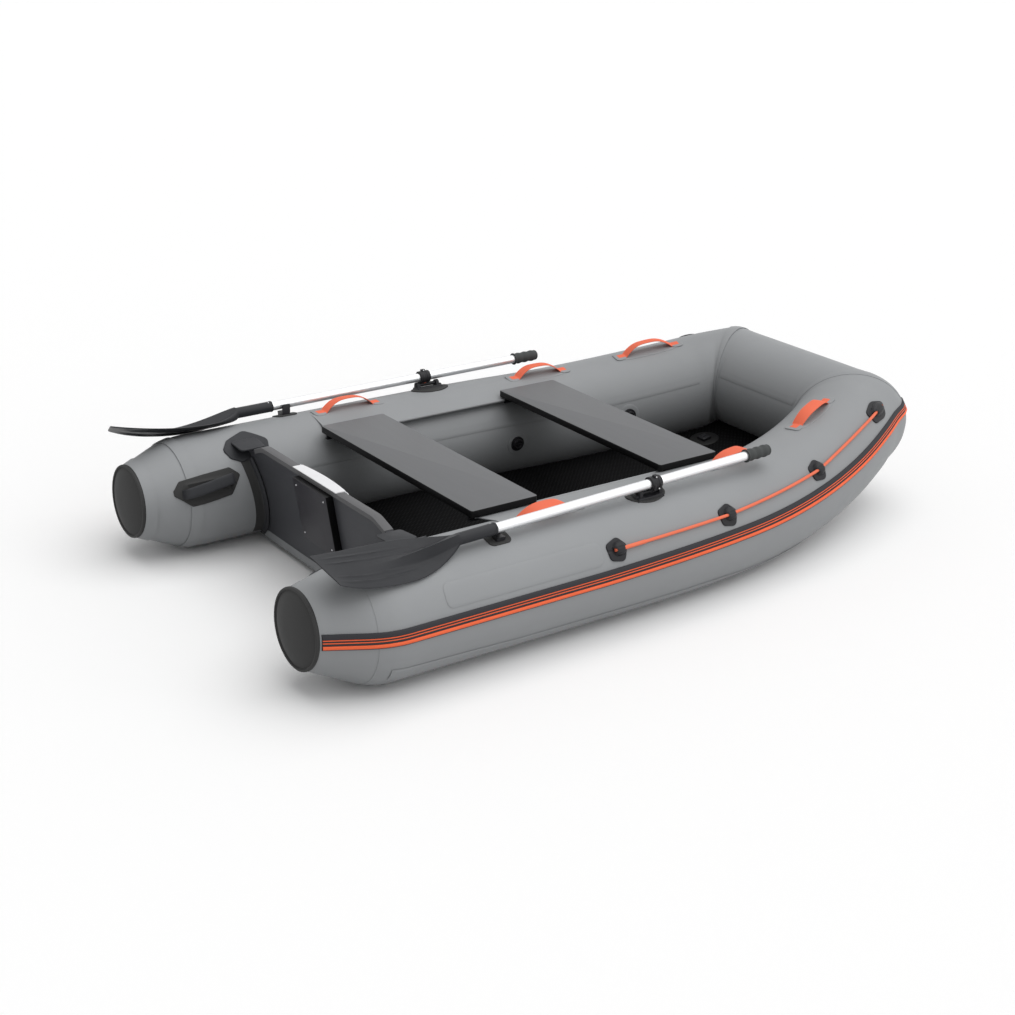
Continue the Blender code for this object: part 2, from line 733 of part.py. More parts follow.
def floor_row(point, top, thickness, rounding):
    x, y = point.x, point.y
    return [
        Vector((x, y, top - thickness + rounding)),
        Vector((x, y, top - rounding)),
        Vector((x, y - rounding, top)),
        Vector((x, -y + rounding, top)),
        Vector((x, -y, top - rounding)),
        Vector((x, -y, top - thickness + rounding)),
        Vector((x, -y + rounding, top - thickness)),
        Vector((x, y - rounding, top - thickness)),
    ]


def deck_top(station):
    stern_z = SHEET_STERN_Z + SHEET_THICKNESS + DECK_THICKNESS
    return ramp(station, stern_z, DECK_DROP, SHEET_RAMP_STATION)


def deck_stations():
    """Rows of the deck, from just ahead of the transom channels."""
    channel = CHANNEL_LIP_THICKNESS + CHANNEL_FLANGE
    start = TRANSOM_FOOT + TRANSOM_THICKNESS + channel + DECK_SIDE_GAP
    return spread(start, LAST_SIDE_STATION, DECK_STEPS)


def make_deck():
    rows = []
    for station in deck_stations():
        top = deck_top(station)
        point = inner_point(station, top, DECK_SIDE_GAP)
        rows.append(floor_row(point, top, DECK_THICKNESS, DECK_ROUNDING))
    section = corner_section(0.0, 1)
    top = section[0].z - DECK_DROP
    angle = pi + asin(DECK_DROP / TUBE_RADIUS)
    front = on_section(section, angle, DECK_SIDE_GAP)
    rows.append(floor_row(front, top, DECK_THICKNESS, DECK_ROUNDING))
    return loft("air_deck", rows, "dark_pvc")


def make_bottom_sheet(clearance):
    """The hull's fabric bottom, glued under the tubes, with a lip up the transom's aft face."""
    rows = []
    stations = spread(TRANSOM_FOOT - SHEET_LIP_THICKNESS, LAST_SIDE_STATION, DECK_STEPS)
    for station in stations:
        z = ramp(max(station, TRANSOM_FOOT), SHEET_STERN_Z, SHEET_DROP, SHEET_RAMP_STATION)
        point = inner_point(station, z, -2 * SINK)
        rows.append((point.x, point.y, z))
    section = bow_section(BOW_STRAIGHT_HALF)
    z = section[0].z - SHEET_DROP
    corner = on_section(corner_section(0.0, 1), pi + asin(SHEET_DROP / TUBE_RADIUS), -2 * SINK)
    rows.append((corner.x, corner.y, z))
    front = on_section(section, pi + asin(SHEET_DROP / TUBE_RADIUS), -2 * SINK)
    rows.append((front.x, front.y, z))
    rings = []
    for x, y, z in rows:
        low = z - SHEET_THICKNESS
        corners = ((y, low), (y, z), (-y, z), (-y, low))
        rings.append([Vector((x, across, height)) for across, height in corners])
    sheet = loft("hull_bottom", rings, "pvc")
    lip_x = TRANSOM_STATION - GAP - 0.5 * SHEET_LIP_THICKNESS - ORIGIN_STATION
    lip_low = SHEET_STERN_Z - SHEET_THICKNESS
    lip_top = SHEET_STERN_Z + SHEET_LIP_HEIGHT
    reach = TUBE_RADIUS + CHANNEL_LIP
    lip_half = SIDE_AXIS_Y - reach * cos(asin((TUBE_RADIUS - lip_top) / reach)) - RUN_GAP
    lip = block(
        "hull_bottom_lip",
        Matrix(),
        (lip_x, 0, 0.5 * (lip_low + lip_top)),
        (SHEET_LIP_THICKNESS, 2 * lip_half, lip_top - lip_low),
    )
    combine(sheet, raked(lip), "UNION")
    combine(sheet, clearance, "DIFFERENCE")


# Transom


def transom_edge_points(radius_gap, first, last, steps):
    """Points along the arc round the port tube, from an upper to a lower girth angle."""
    points = []
    for angle in spread(first, last, steps):
        reach = TUBE_RADIUS + radius_gap
        y = SIDE_AXIS_Y + reach * cos(radians(angle))
        points.append((y, TUBE_RADIUS + reach * sin(radians(angle))))
    return points


def transom_outline():
    bottom = SHEET_STERN_Z + GAP
    reach = TUBE_RADIUS + TRANSOM_TUBE_GAP
    last = 180 + degrees(asin((TUBE_RADIUS - bottom) / reach))
    half = [(TRANSOM_FLAT_HALF, TRANSOM_TOP), (TRANSOM_SHOULDER_Y, TRANSOM_SHOULDER_Z)]
    half += transom_edge_points(TRANSOM_TUBE_GAP, TRANSOM_CORNER_ANGLE, last, CHANNEL_STEPS)
    return half + [(-y, z) for y, z in reversed(half)]


def slab(name, outline, first_station, last_station, finish=None):
    """A plate across the boat from an outline of (y, z) points."""
    aft = [Vector((first_station - ORIGIN_STATION, y, z)) for y, z in outline]
    fore = [Vector((last_station - ORIGIN_STATION, y, z)) for y, z in outline]
    return prism(name, aft, fore, finish)


def raked(item):
    """Lean an upright piece of the transom so that its foot stands forward."""
    slope = tan(radians(TRANSOM_RAKE))
    for vert in item.data.vertices:
        vert.co.x += slope * (TRANSOM_TOP - vert.co.z)
    return item


def make_transom():
    fore = TRANSOM_STATION + TRANSOM_THICKNESS
    raked(slab("transom_board", transom_outline(), TRANSOM_STATION, fore, "board"))


def shoulder_z(y):
    """Height of the board's top edge at a distance from the middle."""
    y = abs(y)
    if y <= TRANSOM_FLAT_HALF:
        return TRANSOM_TOP
    part = (y - TRANSOM_FLAT_HALF) / (TRANSOM_SHOULDER_Y - TRANSOM_FLAT_HALF)
    return TRANSOM_TOP + (TRANSOM_SHOULDER_Z - TRANSOM_TOP) * part


def make_edge_trim():
    """U-shaped trim along the board's top edge and down its shoulders."""
    end = TRANSOM_SHOULDER_Y - TRIM_END_INSET
    marks = (-end, -TRANSOM_FLAT_HALF, TRANSOM_FLAT_HALF, end)
    aft = TRANSOM_STATION - ORIGIN_STATION
    fore = aft + TRANSOM_THICKNESS
    rings = []
    for y in marks:
        top = shoulder_z(y) + GAP
        profile = (
            (aft - GAP - TRIM_THICKNESS, top - TRIM_DEPTH),
            (aft - GAP, top - TRIM_DEPTH),
            (aft - GAP, top),
            (fore + GAP, top),
            (fore + GAP, top - TRIM_DEPTH),
            (fore + GAP + TRIM_THICKNESS, top - TRIM_DEPTH),
            (fore + GAP + TRIM_THICKNESS, top + TRIM_THICKNESS),
            (aft - GAP - TRIM_THICKNESS, top + TRIM_THICKNESS),
        )
        rings.append([Vector((x, y, z)) for x, z in profile])
    raked(loft("transom_edge_trim", rings, "grey_trim"))


def make_channels(clearance):
    """A U-shaped moulding on each tube that takes the end of the transom board."""
    aft = TRANSOM_STATION - GAP
    fore = TRANSOM_STATION + TRANSOM_THICKNESS + GAP
    thick = CHANNEL_LIP_THICKNESS
    profile = (
        (aft - thick - CHANNEL_FLANGE, -SINK),
        (aft - thick - CHANNEL_FLANGE, 0.6 * CHANNEL_BASE),
        (aft - thick, CHANNEL_BASE),
        (aft - CHANNEL_LIP_TAPER * thick, CHANNEL_LIP),
        (aft, CHANNEL_LIP),
        (aft, CHANNEL_BASE),
        (fore, CHANNEL_BASE),
        (fore, CHANNEL_LIP),
        (fore + CHANNEL_LIP_TAPER * thick, CHANNEL_LIP),
        (fore + thick, CHANNEL_BASE),
        (fore + thick + CHANNEL_FLANGE, 0.6 * CHANNEL_BASE),
        (fore + thick + CHANNEL_FLANGE, -SINK),
    )
    for name, side in SIDES:
        rings = []
        for angle in spread(CHANNEL_TOP_ANGLE, CHANNEL_BOTTOM_ANGLE, CHANNEL_STEPS):
            ring = []
            for station, height in profile:
                reach = TUBE_RADIUS + height
                y = side * (SIDE_AXIS_Y + reach * cos(radians(angle)))
                z = TUBE_RADIUS + reach * sin(radians(angle))
                ring.append(Vector((station - ORIGIN_STATION, y, z)))
            rings.append(ring)
        channel = raked(loft(name + "_transom_channel", rings, "black_rubber"))
        combine(channel, clearance, "DIFFERENCE")


def make_holders(clearance):
    """A shield-shaped moulding on each tube whose ledge locks a top corner of the board."""
    half_u, half_v = HOLDER_HALF_LENGTH, HOLDER_HALF_HEIGHT
    corners = [
        (-0.77 * half_u, -0.31 * half_v),
        (0.18 * half_u, -0.90 * half_v),
        (0.95 * half_u, 0.09 * half_v),
        (0.79 * half_u, 0.77 * half_v),
        (-0.50 * half_u, 1.16 * half_v),
        (-0.94 * half_u, 0.83 * half_v),
        (-1.11 * half_u, 0.28 * half_v),
    ]
    outline = rounded(corners, HOLDER_CORNER, 2)
    heights = ((1.0, 0.6 * HOLDER_THICKNESS), (0.93, HOLDER_THICKNESS))
    middle = TRANSOM_STATION + 0.5 * TRANSOM_THICKNESS
    for name, side in SIDES:
        pad = wrapped_pad(
            name + "_transom_holder", HOLDER_STATION, HOLDER_ANGLE, outline, heights, side, "black_rubber"
        )
        root = tube_point(middle, HOLDER_LEDGE_ROOT_ANGLE, 0.0, 1)
        inner = tube_point(middle, HOLDER_LEDGE_INNER_ANGLE, 0.5 * HOLDER_THICKNESS, 1)
        tip_z = shoulder_z(HOLDER_LEDGE_TIP_Y) + HOLDER_LEDGE_CLEARANCE
        chamfer = 0.5 * (HOLDER_LEDGE_TOP - tip_z)
        ledge_outline = [
            (root.y, root.z),
            (inner.y, inner.z),
            (inner.y - HOLDER_CORNER, max(inner.z, tip_z) + RUN_GAP),
            (HOLDER_LEDGE_TIP_Y, tip_z),
            (HOLDER_LEDGE_TIP_Y, HOLDER_LEDGE_TOP - chamfer),
            (HOLDER_LEDGE_TIP_Y + chamfer, HOLDER_LEDGE_TOP),
        ]
        ledge = slab(
            name + "_holder_ledge",
            [(side * y, z) for y, z in ledge_outline],
            middle - 0.5 * HOLDER_LEDGE_WIDTH,
            middle + 0.5 * HOLDER_LEDGE_WIDTH,
        )
        combine(pad, ledge, "UNION")
        combine(pad, clearance, "DIFFERENCE")


def make_motor_plates():
    aft_face = TRANSOM_STATION - GAP
    pad = block(
        "motor_pad",
        Matrix(),
        (
            aft_face - 0.5 * MOTOR_PAD_THICKNESS - ORIGIN_STATION,
            0,
            MOTOR_PAD_TOP - 0.5 * MOTOR_PAD_HEIGHT,
        ),
        (MOTOR_PAD_THICKNESS, MOTOR_PAD_WIDTH, MOTOR_PAD_HEIGHT),
        MOTOR_PAD_BEVEL,
        "board",
    )
    raked(pad)
    top = TRANSOM_TOP + GAP + TRIM_THICKNESS + GAP
    fore = TRANSOM_STATION + TRANSOM_THICKNESS + GAP + TRIM_THICKNESS + GAP
    half = 0.5 * INNER_PLATE_WIDTH
    wide = half + INNER_PLATE_HORN
    thick = INNER_PLATE_THICKNESS
    low = top - INNER_PLATE_HEIGHT
    outline = rounded([(-wide, low), (wide, low), (wide, top), (-wide, top)], INNER_PLATE_CORNER)
    plate = slab("motor_inner_plate", outline, fore, fore + thick, "white_plate")
    fold = block(
        "inner_plate_fold",
        Matrix(),
        (0.5 * (TRANSOM_STATION + fore + thick) - ORIGIN_STATION, 0, top + 0.5 * thick),
        (fore + thick - TRANSOM_STATION, INNER_PLATE_WIDTH, thick),
    )
    riser = block(
        "inner_plate_riser",
        Matrix(),
        (fore + 0.5 * thick - ORIGIN_STATION, 0, top - 0.5 * thick),
        (thick, INNER_PLATE_WIDTH, 3 * thick),
    )
    for item in (plate, riser, fold):
        raked(item)
    combine(plate, riser, "UNION")
    combine(plate, fold, "UNION")


# Handles


def make_stern_handles(clearance):
    half_u, half_v = STERN_HANDLE_HALF_LENGTH, STERN_HANDLE_HALF_HEIGHT
    corners = [
        (-half_u, -0.14 * half_v),
        (-0.80 * half_u, -0.78 * half_v),
        (0.75 * half_u, -half_v),
        (1.03 * half_u, -0.40 * half_v),
        (0.675 * half_u, 0.80 * half_v),
        (-0.53 * half_u, 1.18 * half_v),
        (-half_u, 0.26 * half_v),
    ]
    outline = rounded(corners, 0.010, 1)
    heights = ((1.0, 0.6 * STERN_HANDLE_PAD), (0.95, STERN_HANDLE_PAD))
    span, rise = STERN_HANDLE_SPAN, STERN_HANDLE_RISE - 0.5 * STERN_HANDLE_BAR_THICKNESS
    shape = ((1.06, 0.0), (0.97, 0.45), (0.84, 0.85), (0.60, 1.0), (0.0, 1.0))
    path = [(-span * part, rise * lift) for part, lift in shape]
    path += [(span * part, rise * lift) for part, lift in reversed(shape[:-1])]
    for name, side in SIDES:
        args = (STERN_HANDLE_STATION, STERN_HANDLE_ANGLE)
        pad = wrapped_pad(name + "_stern_handle", *args, outline, heights, side, "black_rubber")
        bar = arch(
            name + "_handle_bar", *args, path, STERN_HANDLE_BAR_WIDTH, STERN_HANDLE_BAR_THICKNESS, side
        )
        combine(pad, bar, "UNION")
        combine(pad, clearance, "DIFFERENCE")


def grab_path():
    """Webbing glued flat at both ends and arched between them."""
    flat = GRAB_PATCH_THICKNESS + 0.3 * GRAB_THICKNESS
    span = GRAB_HALF_SPAN
    crown = GRAB_RISE - 0.5 * GRAB_THICKNESS
    path = [(-span - GRAB_TAIL, flat), (-span, flat)]
    for part in (0.85, 0.65, 0.40, 0.14):
        path.append((-span * part, flat + (crown - flat) * cos(0.5 * pi * part ** 1.5)))
    path += [(-u, h) for u, h in reversed(path)]
    return path


def make_grab_handles(clearance):
    outline = oval(GRAB_PATCH_HALF_LENGTH, GRAB_PATCH_HALF_WIDTH, 3.0, 16)
    heights = ((1.0, GRAB_PATCH_THICKNESS),)
    for label, station, angle in zip(GRAB_NAMES, GRAB_STATIONS, GRAB_ANGLES):
        for name, side in SIDES:
            title = name + "_" + label + "_grab_handle"
            patch = wrapped_pad(title, station, angle, outline, heights, side, "orange")
            strap = arch(title + "_strap", station, angle, grab_path(), GRAB_WIDTH, GRAB_THICKNESS, side)
            combine(patch, strap, "UNION")
            combine(patch, clearance, "DIFFERENCE")


# Grab lines


def line_angle(station):
    """Girth angle of the grab line, straight from one fairlead to the next."""
    stations, angles = FAIRLEAD_STATIONS, FAIRLEAD_ANGLES
    if station <= stations[0]:
        return angles[0]
    for i in range(len(stations) - 1):
        if station <= stations[i + 1]:
            part = (station - stations[i]) / (stations[i + 1] - stations[i])
            return angles[i] + (angles[i + 1] - angles[i]) * part
    return angles[-1]


def line_height(station):
    """The line passes through each fairlead's hole and lies low on the tube between them."""
    away = min(abs(station - s) for s in FAIRLEAD_STATIONS)
    if away < LINE_FAIRLEAD_STRAIGHT:
        return LINE_HEIGHT_IN_FAIRLEAD
    part = min(1.0, (away - LINE_FAIRLEAD_STRAIGHT) / LINE_FAIRLEAD_STRAIGHT)
    return LINE_HEIGHT_IN_FAIRLEAD + (LINE_HEIGHT_ON_TUBE - LINE_HEIGHT_IN_FAIRLEAD) * part


def make_grab_lines():
    start = FAIRLEAD_STATIONS[0] - LINE_TAIL
    end = FAIRLEAD_STATIONS[-1] + LINE_TAIL
    steps = ceil((end - start) / LINE_POINT_SPACING)
    for name, side in SIDES:
        curve = bpy.data.curves.new(name + "_grab_line", "CURVE")
        curve.dimensions = "3D"
        curve.bevel_depth = 0.5 * LINE_DIAMETER
        curve.bevel_resolution = 2
        curve.use_fill_caps = True
        spline = curve.splines.new("POLY")
        points = []
        for station in spread(start, end, steps):
            points.append(tube_point(station, line_angle(station), line_height(station), side))
        spline.points.add(len(points) - 1)
        for slot, point in zip(spline.points, points):
            slot.co = (*point, 1.0)
        item = bpy.data.objects.new(name + "_grab_line", curve)
        bpy.context.scene.collection.objects.link(item)
        give_material(item, "orange")


def make_fairleads(clearance):
    size = FAIRLEAD_HALF_SIZE
    shape = ((-1.0, 0.55), (-0.75, -0.75), (0.55, -1.0), (1.0, 0.30), (0.1, 1.0))
    outline = rounded([(u * size, v * size) for u, v in shape], 0.35 * size, 1)
    heights = (
        (1.0, 0.6 * FAIRLEAD_PAD),
        (0.93, FAIRLEAD_PAD),
        (0.66, FAIRLEAD_PAD),
        (0.56, 0.8 * FAIRLEAD_BOSS),
        (0.42, FAIRLEAD_BOSS),
    )
    for number, (station, angle) in enumerate(zip(FAIRLEAD_STATIONS, FAIRLEAD_ANGLES), 1):
        for name, side in SIDES:
            title = name + "_fairlead_" + str(number)
            pad = wrapped_pad(title, station, angle, outline, heights, side, "black_rubber")
            reach = LINE_FAIRLEAD_STRAIGHT
            ends = []
            for where in (station - reach, station + reach):
                ends.append(tube_point(where, line_angle(where), LINE_HEIGHT_IN_FAIRLEAD, side))
            along = (ends[1] - ends[0]).normalized()
            matrix = along.to_track_quat("Z", "Y").to_matrix().to_4x4()
            matrix.translation = tube_point(station, angle, LINE_HEIGHT_IN_FAIRLEAD, side)
            bore = rod(title + "_bore", matrix, LINE_HOLE_RADIUS, -1.2 * size, 1.2 * size, 10)
            combine(pad, clearance, "DIFFERENCE")
            combine(pad, bore, "DIFFERENCE")


# Seats


def bead_contact_angle(station):
    """Girth angle in degrees where the track's sheet leaves the tube for the bead."""
    centre = side_section(station, 1)[0]
    away_y, away_z = BEAD_Y - centre.y, BEAD_Z - centre.z
    distance = hypot(away_y, away_z)
    bead_angle = degrees(atan2(away_z, away_y))
    return bead_angle - degrees(acos((TUBE_RADIUS + TRACK_STAND_OFF) / distance))


def track_ring(station, side):
    centre = side_section(station, 1)[0]
    contact = bead_contact_angle(station)

    def on_tube(angle, height):
        reach = TUBE_RADIUS + height
        return (centre.y + reach * cos(radians(angle)), centre.z + reach * sin(radians(angle)))

    glue = contact - TRACK_GLUE_ANGLE
    outside = TRACK_STAND_OFF + 0.5 * TRACK_SHEET
    leave_y, leave_z = on_tube(contact, TRACK_STAND_OFF)
    slope = atan2(leave_z - BEAD_Z, leave_y - BEAD_Y)
    points = [on_tube(glue, -0.5 * SINK), on_tube(glue, outside), on_tube(contact, outside)]
    opening = asin(0.5 * TRACK_SHEET / BEAD_RADIUS)
    for angle in spread(slope + opening, slope + 2 * pi - opening, 7):
        points.append((BEAD_Y + BEAD_RADIUS * cos(angle), BEAD_Z + BEAD_RADIUS * sin(angle)))
    points.append(on_tube(contact + TRACK_FOOT_ANGLE, TRACK_STAND_OFF - 0.5 * TRACK_SHEET))
    points.append(on_tube(contact + TRACK_FOOT_ANGLE, -0.5 * SINK))
    return [Vector((station - ORIGIN_STATION, side * y, z)) for y, z in points]


def make_seat_tracks(clearance):
    for name, side in SIDES:
        rings = [track_ring(s, side) for s in spread(TRACK_START, TRACK_END, TRACK_STEPS)]
        track = loft(name + "_seat_track", rings, "pvc")
        combine(track, clearance, "DIFFERENCE")


def guide_outline():
    """Section of the hook under a seat's end that holds the track's bead."""
    slot = BEAD_RADIUS + RUN_GAP
    wall = BEAD_Y - slot - GUIDE_WALL
    jaw = BEAD_Y + GUIDE_JAW_REACH
    under = BEAD_Z - slot - 0.8 * GUIDE_WALL
    top = SEAT_TOP - SEAT_THICKNESS + SEAT_BEVEL
    points = [(wall, top), (wall, under), (jaw, under)]
    jaw_angle = acos((jaw - BEAD_Y) / slot)
    for angle in spread(-jaw_angle, -1.5 * pi + 0.25 * pi, 5):
        points.append((BEAD_Y + slot * cos(angle), BEAD_Z + slot * sin(angle)))
    points.append((BEAD_Y - slot * cos(0.25 * pi), top))
    return points


def make_seats():
    for name, (aft, fore) in (("aft", AFT_SEAT_STATIONS), ("forward", FORWARD_SEAT_STATIONS)):
        seat = block(
            name + "_seat",
            Matrix(),
            (0.5 * (aft + fore) - ORIGIN_STATION, 0, SEAT_TOP - 0.5 * SEAT_THICKNESS),
            (fore - aft, 2 * SEAT_HALF_LENGTH, SEAT_THICKNESS),
            SEAT_BEVEL,
            "seat",
        )
        for label, side in SIDES:
            outline = [(side * y, z) for y, z in guide_outline()]
            guide = slab(
                name + "_seat_" + label + "_guide", outline, aft + GUIDE_END_INSET, fore - GUIDE_END_INSET
            )
            combine(seat, guide, "UNION")


# Valves


def make_valve(name, matrix):
    bore = VALVE_BORE_RADIUS
    body = [
        (VALVE_FLANGE_RADIUS, -VALVE_FLANGE_SINK),
        (VALVE_FLANGE_RADIUS, 0.6 * VALVE_FLANGE_PROUD),
        (0.92 * VALVE_FLANGE_RADIUS, VALVE_FLANGE_PROUD),
        (bore, VALVE_FLANGE_PROUD),
        (bore, -VALVE_DEPTH),
        (VALVE_BARREL_RADIUS, -VALVE_DEPTH),
        (VALVE_BARREL_RADIUS, -VALVE_FLANGE_SINK),
    ]
    turned(name + "_valve_body", matrix, body, VALVE_SIDES, "black_rubber", bored=True)
    foot = VALVE_FLANGE_PROUD + GAP
    cap = [
        (bore - GAP, -VALVE_STEM_DEPTH),
        (bore - GAP, foot),
        (VALVE_CAP_RADIUS, foot),
        (VALVE_CAP_RADIUS, foot + 0.75 * VALVE_CAP_HEIGHT),
        (0.88 * VALVE_CAP_RADIUS, foot + VALVE_CAP_HEIGHT),
        (0.60 * VALVE_CAP_RADIUS, foot + VALVE_CAP_HEIGHT),
        (0.50 * VALVE_CAP_RADIUS, foot + 0.5 * VALVE_CAP_HEIGHT),
    ]
    item = turned(name + "_valve_cap", Matrix(), cap, VALVE_SIDES, "black_rubber")
    item.matrix_world = matrix


def make_valves():
    for name, side in SIDES:
        make_valve(name, surface_frame(VALVE_STATION, VALVE_ANGLE, side))
    make_valve("bow", surface_frame(BOW_VALVE_STATION, BOW_VALVE_ANGLE, 1))


def deck_facet(x):
    """Height and slope of the deck's top between the two rows on either side of a place."""
    rows = []
    for station in deck_stations():
        top = deck_top(station)
        rows.append((inner_point(station, top, DECK_SIDE_GAP).x, top))
    for (x0, z0), (x1, z1) in zip(rows, rows[1:]):
        if x0 <= x <= x1:
            slope = (z1 - z0) / (x1 - x0)
            return z0 + slope * (x - x0), slope
    return rows[-1][1], 0.0


def make_deck_valve():
    x = DECK_VALVE_STATION - ORIGIN_STATION
    z, slope = deck_facet(x)
    along = Vector((1, 0, slope)).normalized()
    normal = Vector((-slope, 0, 1)).normalized()
    matrix = Matrix((along, normal.cross(along), normal)).transposed().to_4x4()
    matrix.translation = Vector((x, DECK_VALVE_Y, z)) + normal * 5 * GAP
    thick = DECK_VALVE_THICKNESS
    radius = DECK_VALVE_RADIUS
    profile = [(radius, 0.0), (radius, 0.4 * thick), (0.96 * radius, thick), (0.4 * radius, thick)]
    turned("deck_valve_patch", matrix, profile, 28, "dark_pvc")
    lid_z = thick + GAP + 0.5 * DECK_VALVE_LID_HEIGHT
    turn = matrix @ Matrix.Rotation(radians(45), 4, "Z")
    size = (DECK_VALVE_LID_SIZE, DECK_VALVE_LID_SIZE, DECK_VALVE_LID_HEIGHT)
    lid = block("deck_valve_lid", Matrix(), (0, 0, lid_z), size, 0.003, "black_rubber")
    lid.matrix_world = turn


# Oarlocks and oars


def oarlock_frame(side):
    """Frame at the middle of an oarlock's base, on the tube's surface."""
    return surface_frame(OARLOCK_STATION, OARLOCK_ANGLE, side)


def pivot_offset(side):
    """The same moulding serves both sides, so its pivot is aft of the middle on one of them."""
    return -side * PIVOT_OFFSET


def oar_frame(side):
    """Frame on the oar's axis over its pivot: X along the shaft to the grip, Z along the pivot."""
    base = oarlock_frame(side)
    normal = base.to_3x3().col[2]
    aim = Vector((1.0, -side * SHAFT_TOE_IN, SHAFT_RISE))
    along = (aim - normal * aim.dot(normal)).normalized()
    across = normal.cross(along)
    matrix = Matrix((along, across, normal)).transposed().to_4x4()
    matrix.translation = base @ Vector((pivot_offset(side), 0, PIN_HEIGHT + SHAFT_ABOVE_PIN))
    return matrix


def x_axis_frame(matrix):
    """The same frame turned so that its Z axis runs along the old X axis."""
    return matrix @ Matrix.Rotation(pi / 2, 4, "Y")


def make_oarlock_base(name, side, clearance):
    base = oarlock_frame(side)
    outline = oval(OARLOCK_PATCH_HALF_LENGTH, OARLOCK_PATCH_HALF_WIDTH, 1.7, 16)
    thick = OARLOCK_PATCH_THICKNESS
    heights = ((1.0, 0.5 * thick), (0.92, thick))
    pad = wrapped_pad(
        name + "_oarlock_base", OARLOCK_STATION, OARLOCK_ANGLE, outline, heights, side, "black_rubber"
    )
    pedestal = block(
        name + "_oarlock_pedestal",
        base,
        (0, 0, 0.5 * PEDESTAL_TOP),
        (PEDESTAL_LENGTH, PEDESTAL_WIDTH, PEDESTAL_TOP),
        0.003,
    )
    combine(pad, pedestal, "UNION")
    away = -1 if pivot_offset(side) > 0 else 1
    pivot = pivot_offset(side)
    starts = (pivot - away * (NEAR_LUG_DISTANCE + LUG_THICKNESS), pivot + away * FAR_LUG_DISTANCE)
    for number, start in enumerate(starts):
        low = min(start, start + away * LUG_THICKNESS)
        outline = [(-1.25 * LUG_RADIUS, 0.5 * PEDESTAL_TOP), (1.25 * LUG_RADIUS, 0.5 * PEDESTAL_TOP)]
        for angle in spread(0.0, pi, 6):
            outline.append((LUG_RADIUS * cos(angle), PIN_HEIGHT + LUG_RADIUS * sin(angle)))
        ends = []
        for x in (low, low + LUG_THICKNESS):
            ends.append([base @ Vector((x, y, z)) for y, z in outline])
        combine(pad, prism(name + "_lug_" + str(number), *ends), "UNION")
    pin = x_axis_frame(base @ Matrix.Translation((0, 0, PIN_HEIGHT)))
    reach = PEDESTAL_LENGTH
    combine(pad, rod(name + "_pin_hole", pin, PIN_RADIUS + GAP, -reach, reach, 16), "DIFFERENCE")
    combine(pad, clearance, "DIFFERENCE")


def make_knuckle(name, side):
    base = oarlock_frame(side)
    pin_frame = x_axis_frame(base @ Matrix.Translation((0, 0, PIN_HEIGHT)))
    away = -1 if pivot_offset(side) > 0 else 1
    pivot = pivot_offset(side)
    near = pivot - away * NEAR_LUG_DISTANCE
    far = pivot + away * FAR_LUG_DISTANCE
    low, high = min(near, far), max(near, far)
    stub = LUG_THICKNESS + 2 * GAP
    radius = KNUCKLE_BARREL_RADIUS
    profile = [
        (PIN_RADIUS, low - stub),
        (PIN_RADIUS, low + GAP),
        (radius, low + GAP),
        (radius, high - GAP),
        (PIN_RADIUS, high - GAP),
        (PIN_RADIUS, high + stub),
    ]
    local = x_axis_frame(Matrix())
    knuckle = turned(name + "_oarlock_knuckle", local, profile, 16, "black_rubber")
    knuckle.matrix_world = base @ Matrix.Translation((0, 0, PIN_HEIGHT))
    top = SHAFT_ABOVE_PIN - SHAFT_RADIUS - SPIGOT_TOP_GAP
    spigot = rod(name + "_spigot", Matrix.Translation((pivot, 0, 0)), SPIGOT_RADIUS, 0.0, top, 16)
    spigot.matrix_world = knuckle.matrix_world
    combine(knuckle, spigot, "UNION")
    return knuckle


def make_collar(name, matrix):
    inner = SHAFT_RADIUS + GAP
    profile = [
        (inner, -COLLAR_HALF_LENGTH),
        (COLLAR_RADIUS, -COLLAR_HALF_LENGTH),
        (COLLAR_RADIUS, COLLAR_HALF_LENGTH),
        (inner, COLLAR_HALF_LENGTH),
    ]
    local = x_axis_frame(Matrix())
    collar = turned(name + "_oar_collar", local, profile, SHAFT_SIDES, "black_rubber", True)
    collar.matrix_world = matrix
    foot = -(SHAFT_ABOVE_PIN - KNUCKLE_BARREL_RADIUS - GAP)
    middle = 0.5 * (SHAFT_RADIUS + COLLAR_RADIUS)
    boss = rod(name + "_collar_boss", Matrix(), COLLAR_BOSS_RADIUS, foot, -middle, 16)
    ear = block(
        name + "_collar_ear",
        Matrix(),
        (0, 0, middle + 0.5 * COLLAR_EAR_HEIGHT),
        (COLLAR_EAR_LENGTH, COLLAR_EAR_WIDTH, COLLAR_EAR_HEIGHT),
        COLLAR_EAR_BEVEL,
    )
    hole = rod(name + "_spigot_hole", Matrix(), SPIGOT_RADIUS + GAP, 2 * foot, -0.5 * SHAFT_RADIUS, 16)
    for tool, operation in ((boss, "UNION"), (ear, "UNION"), (hole, "DIFFERENCE")):
        tool.matrix_world = matrix
        combine(collar, tool, operation)


def shaft_forward():
    """Forward end of the shaft, inside the closed end of the grip."""
    return GRIP_AFT + GRIP_LENGTH - GRIP_END_WALL


def make_shaft(name, matrix):
    inner = SHAFT_RADIUS - SHAFT_WALL
    forward = shaft_forward()
    profile = [
        (inner, SHAFT_AFT),
        (SHAFT_RADIUS, SHAFT_AFT),
        (SHAFT_RADIUS, forward),
        (inner, forward),
    ]
    local = x_axis_frame(Matrix())
    shaft = turned(name + "_oar_shaft", local, profile, SHAFT_SIDES, "aluminium", True)
    shaft.matrix_world = matrix


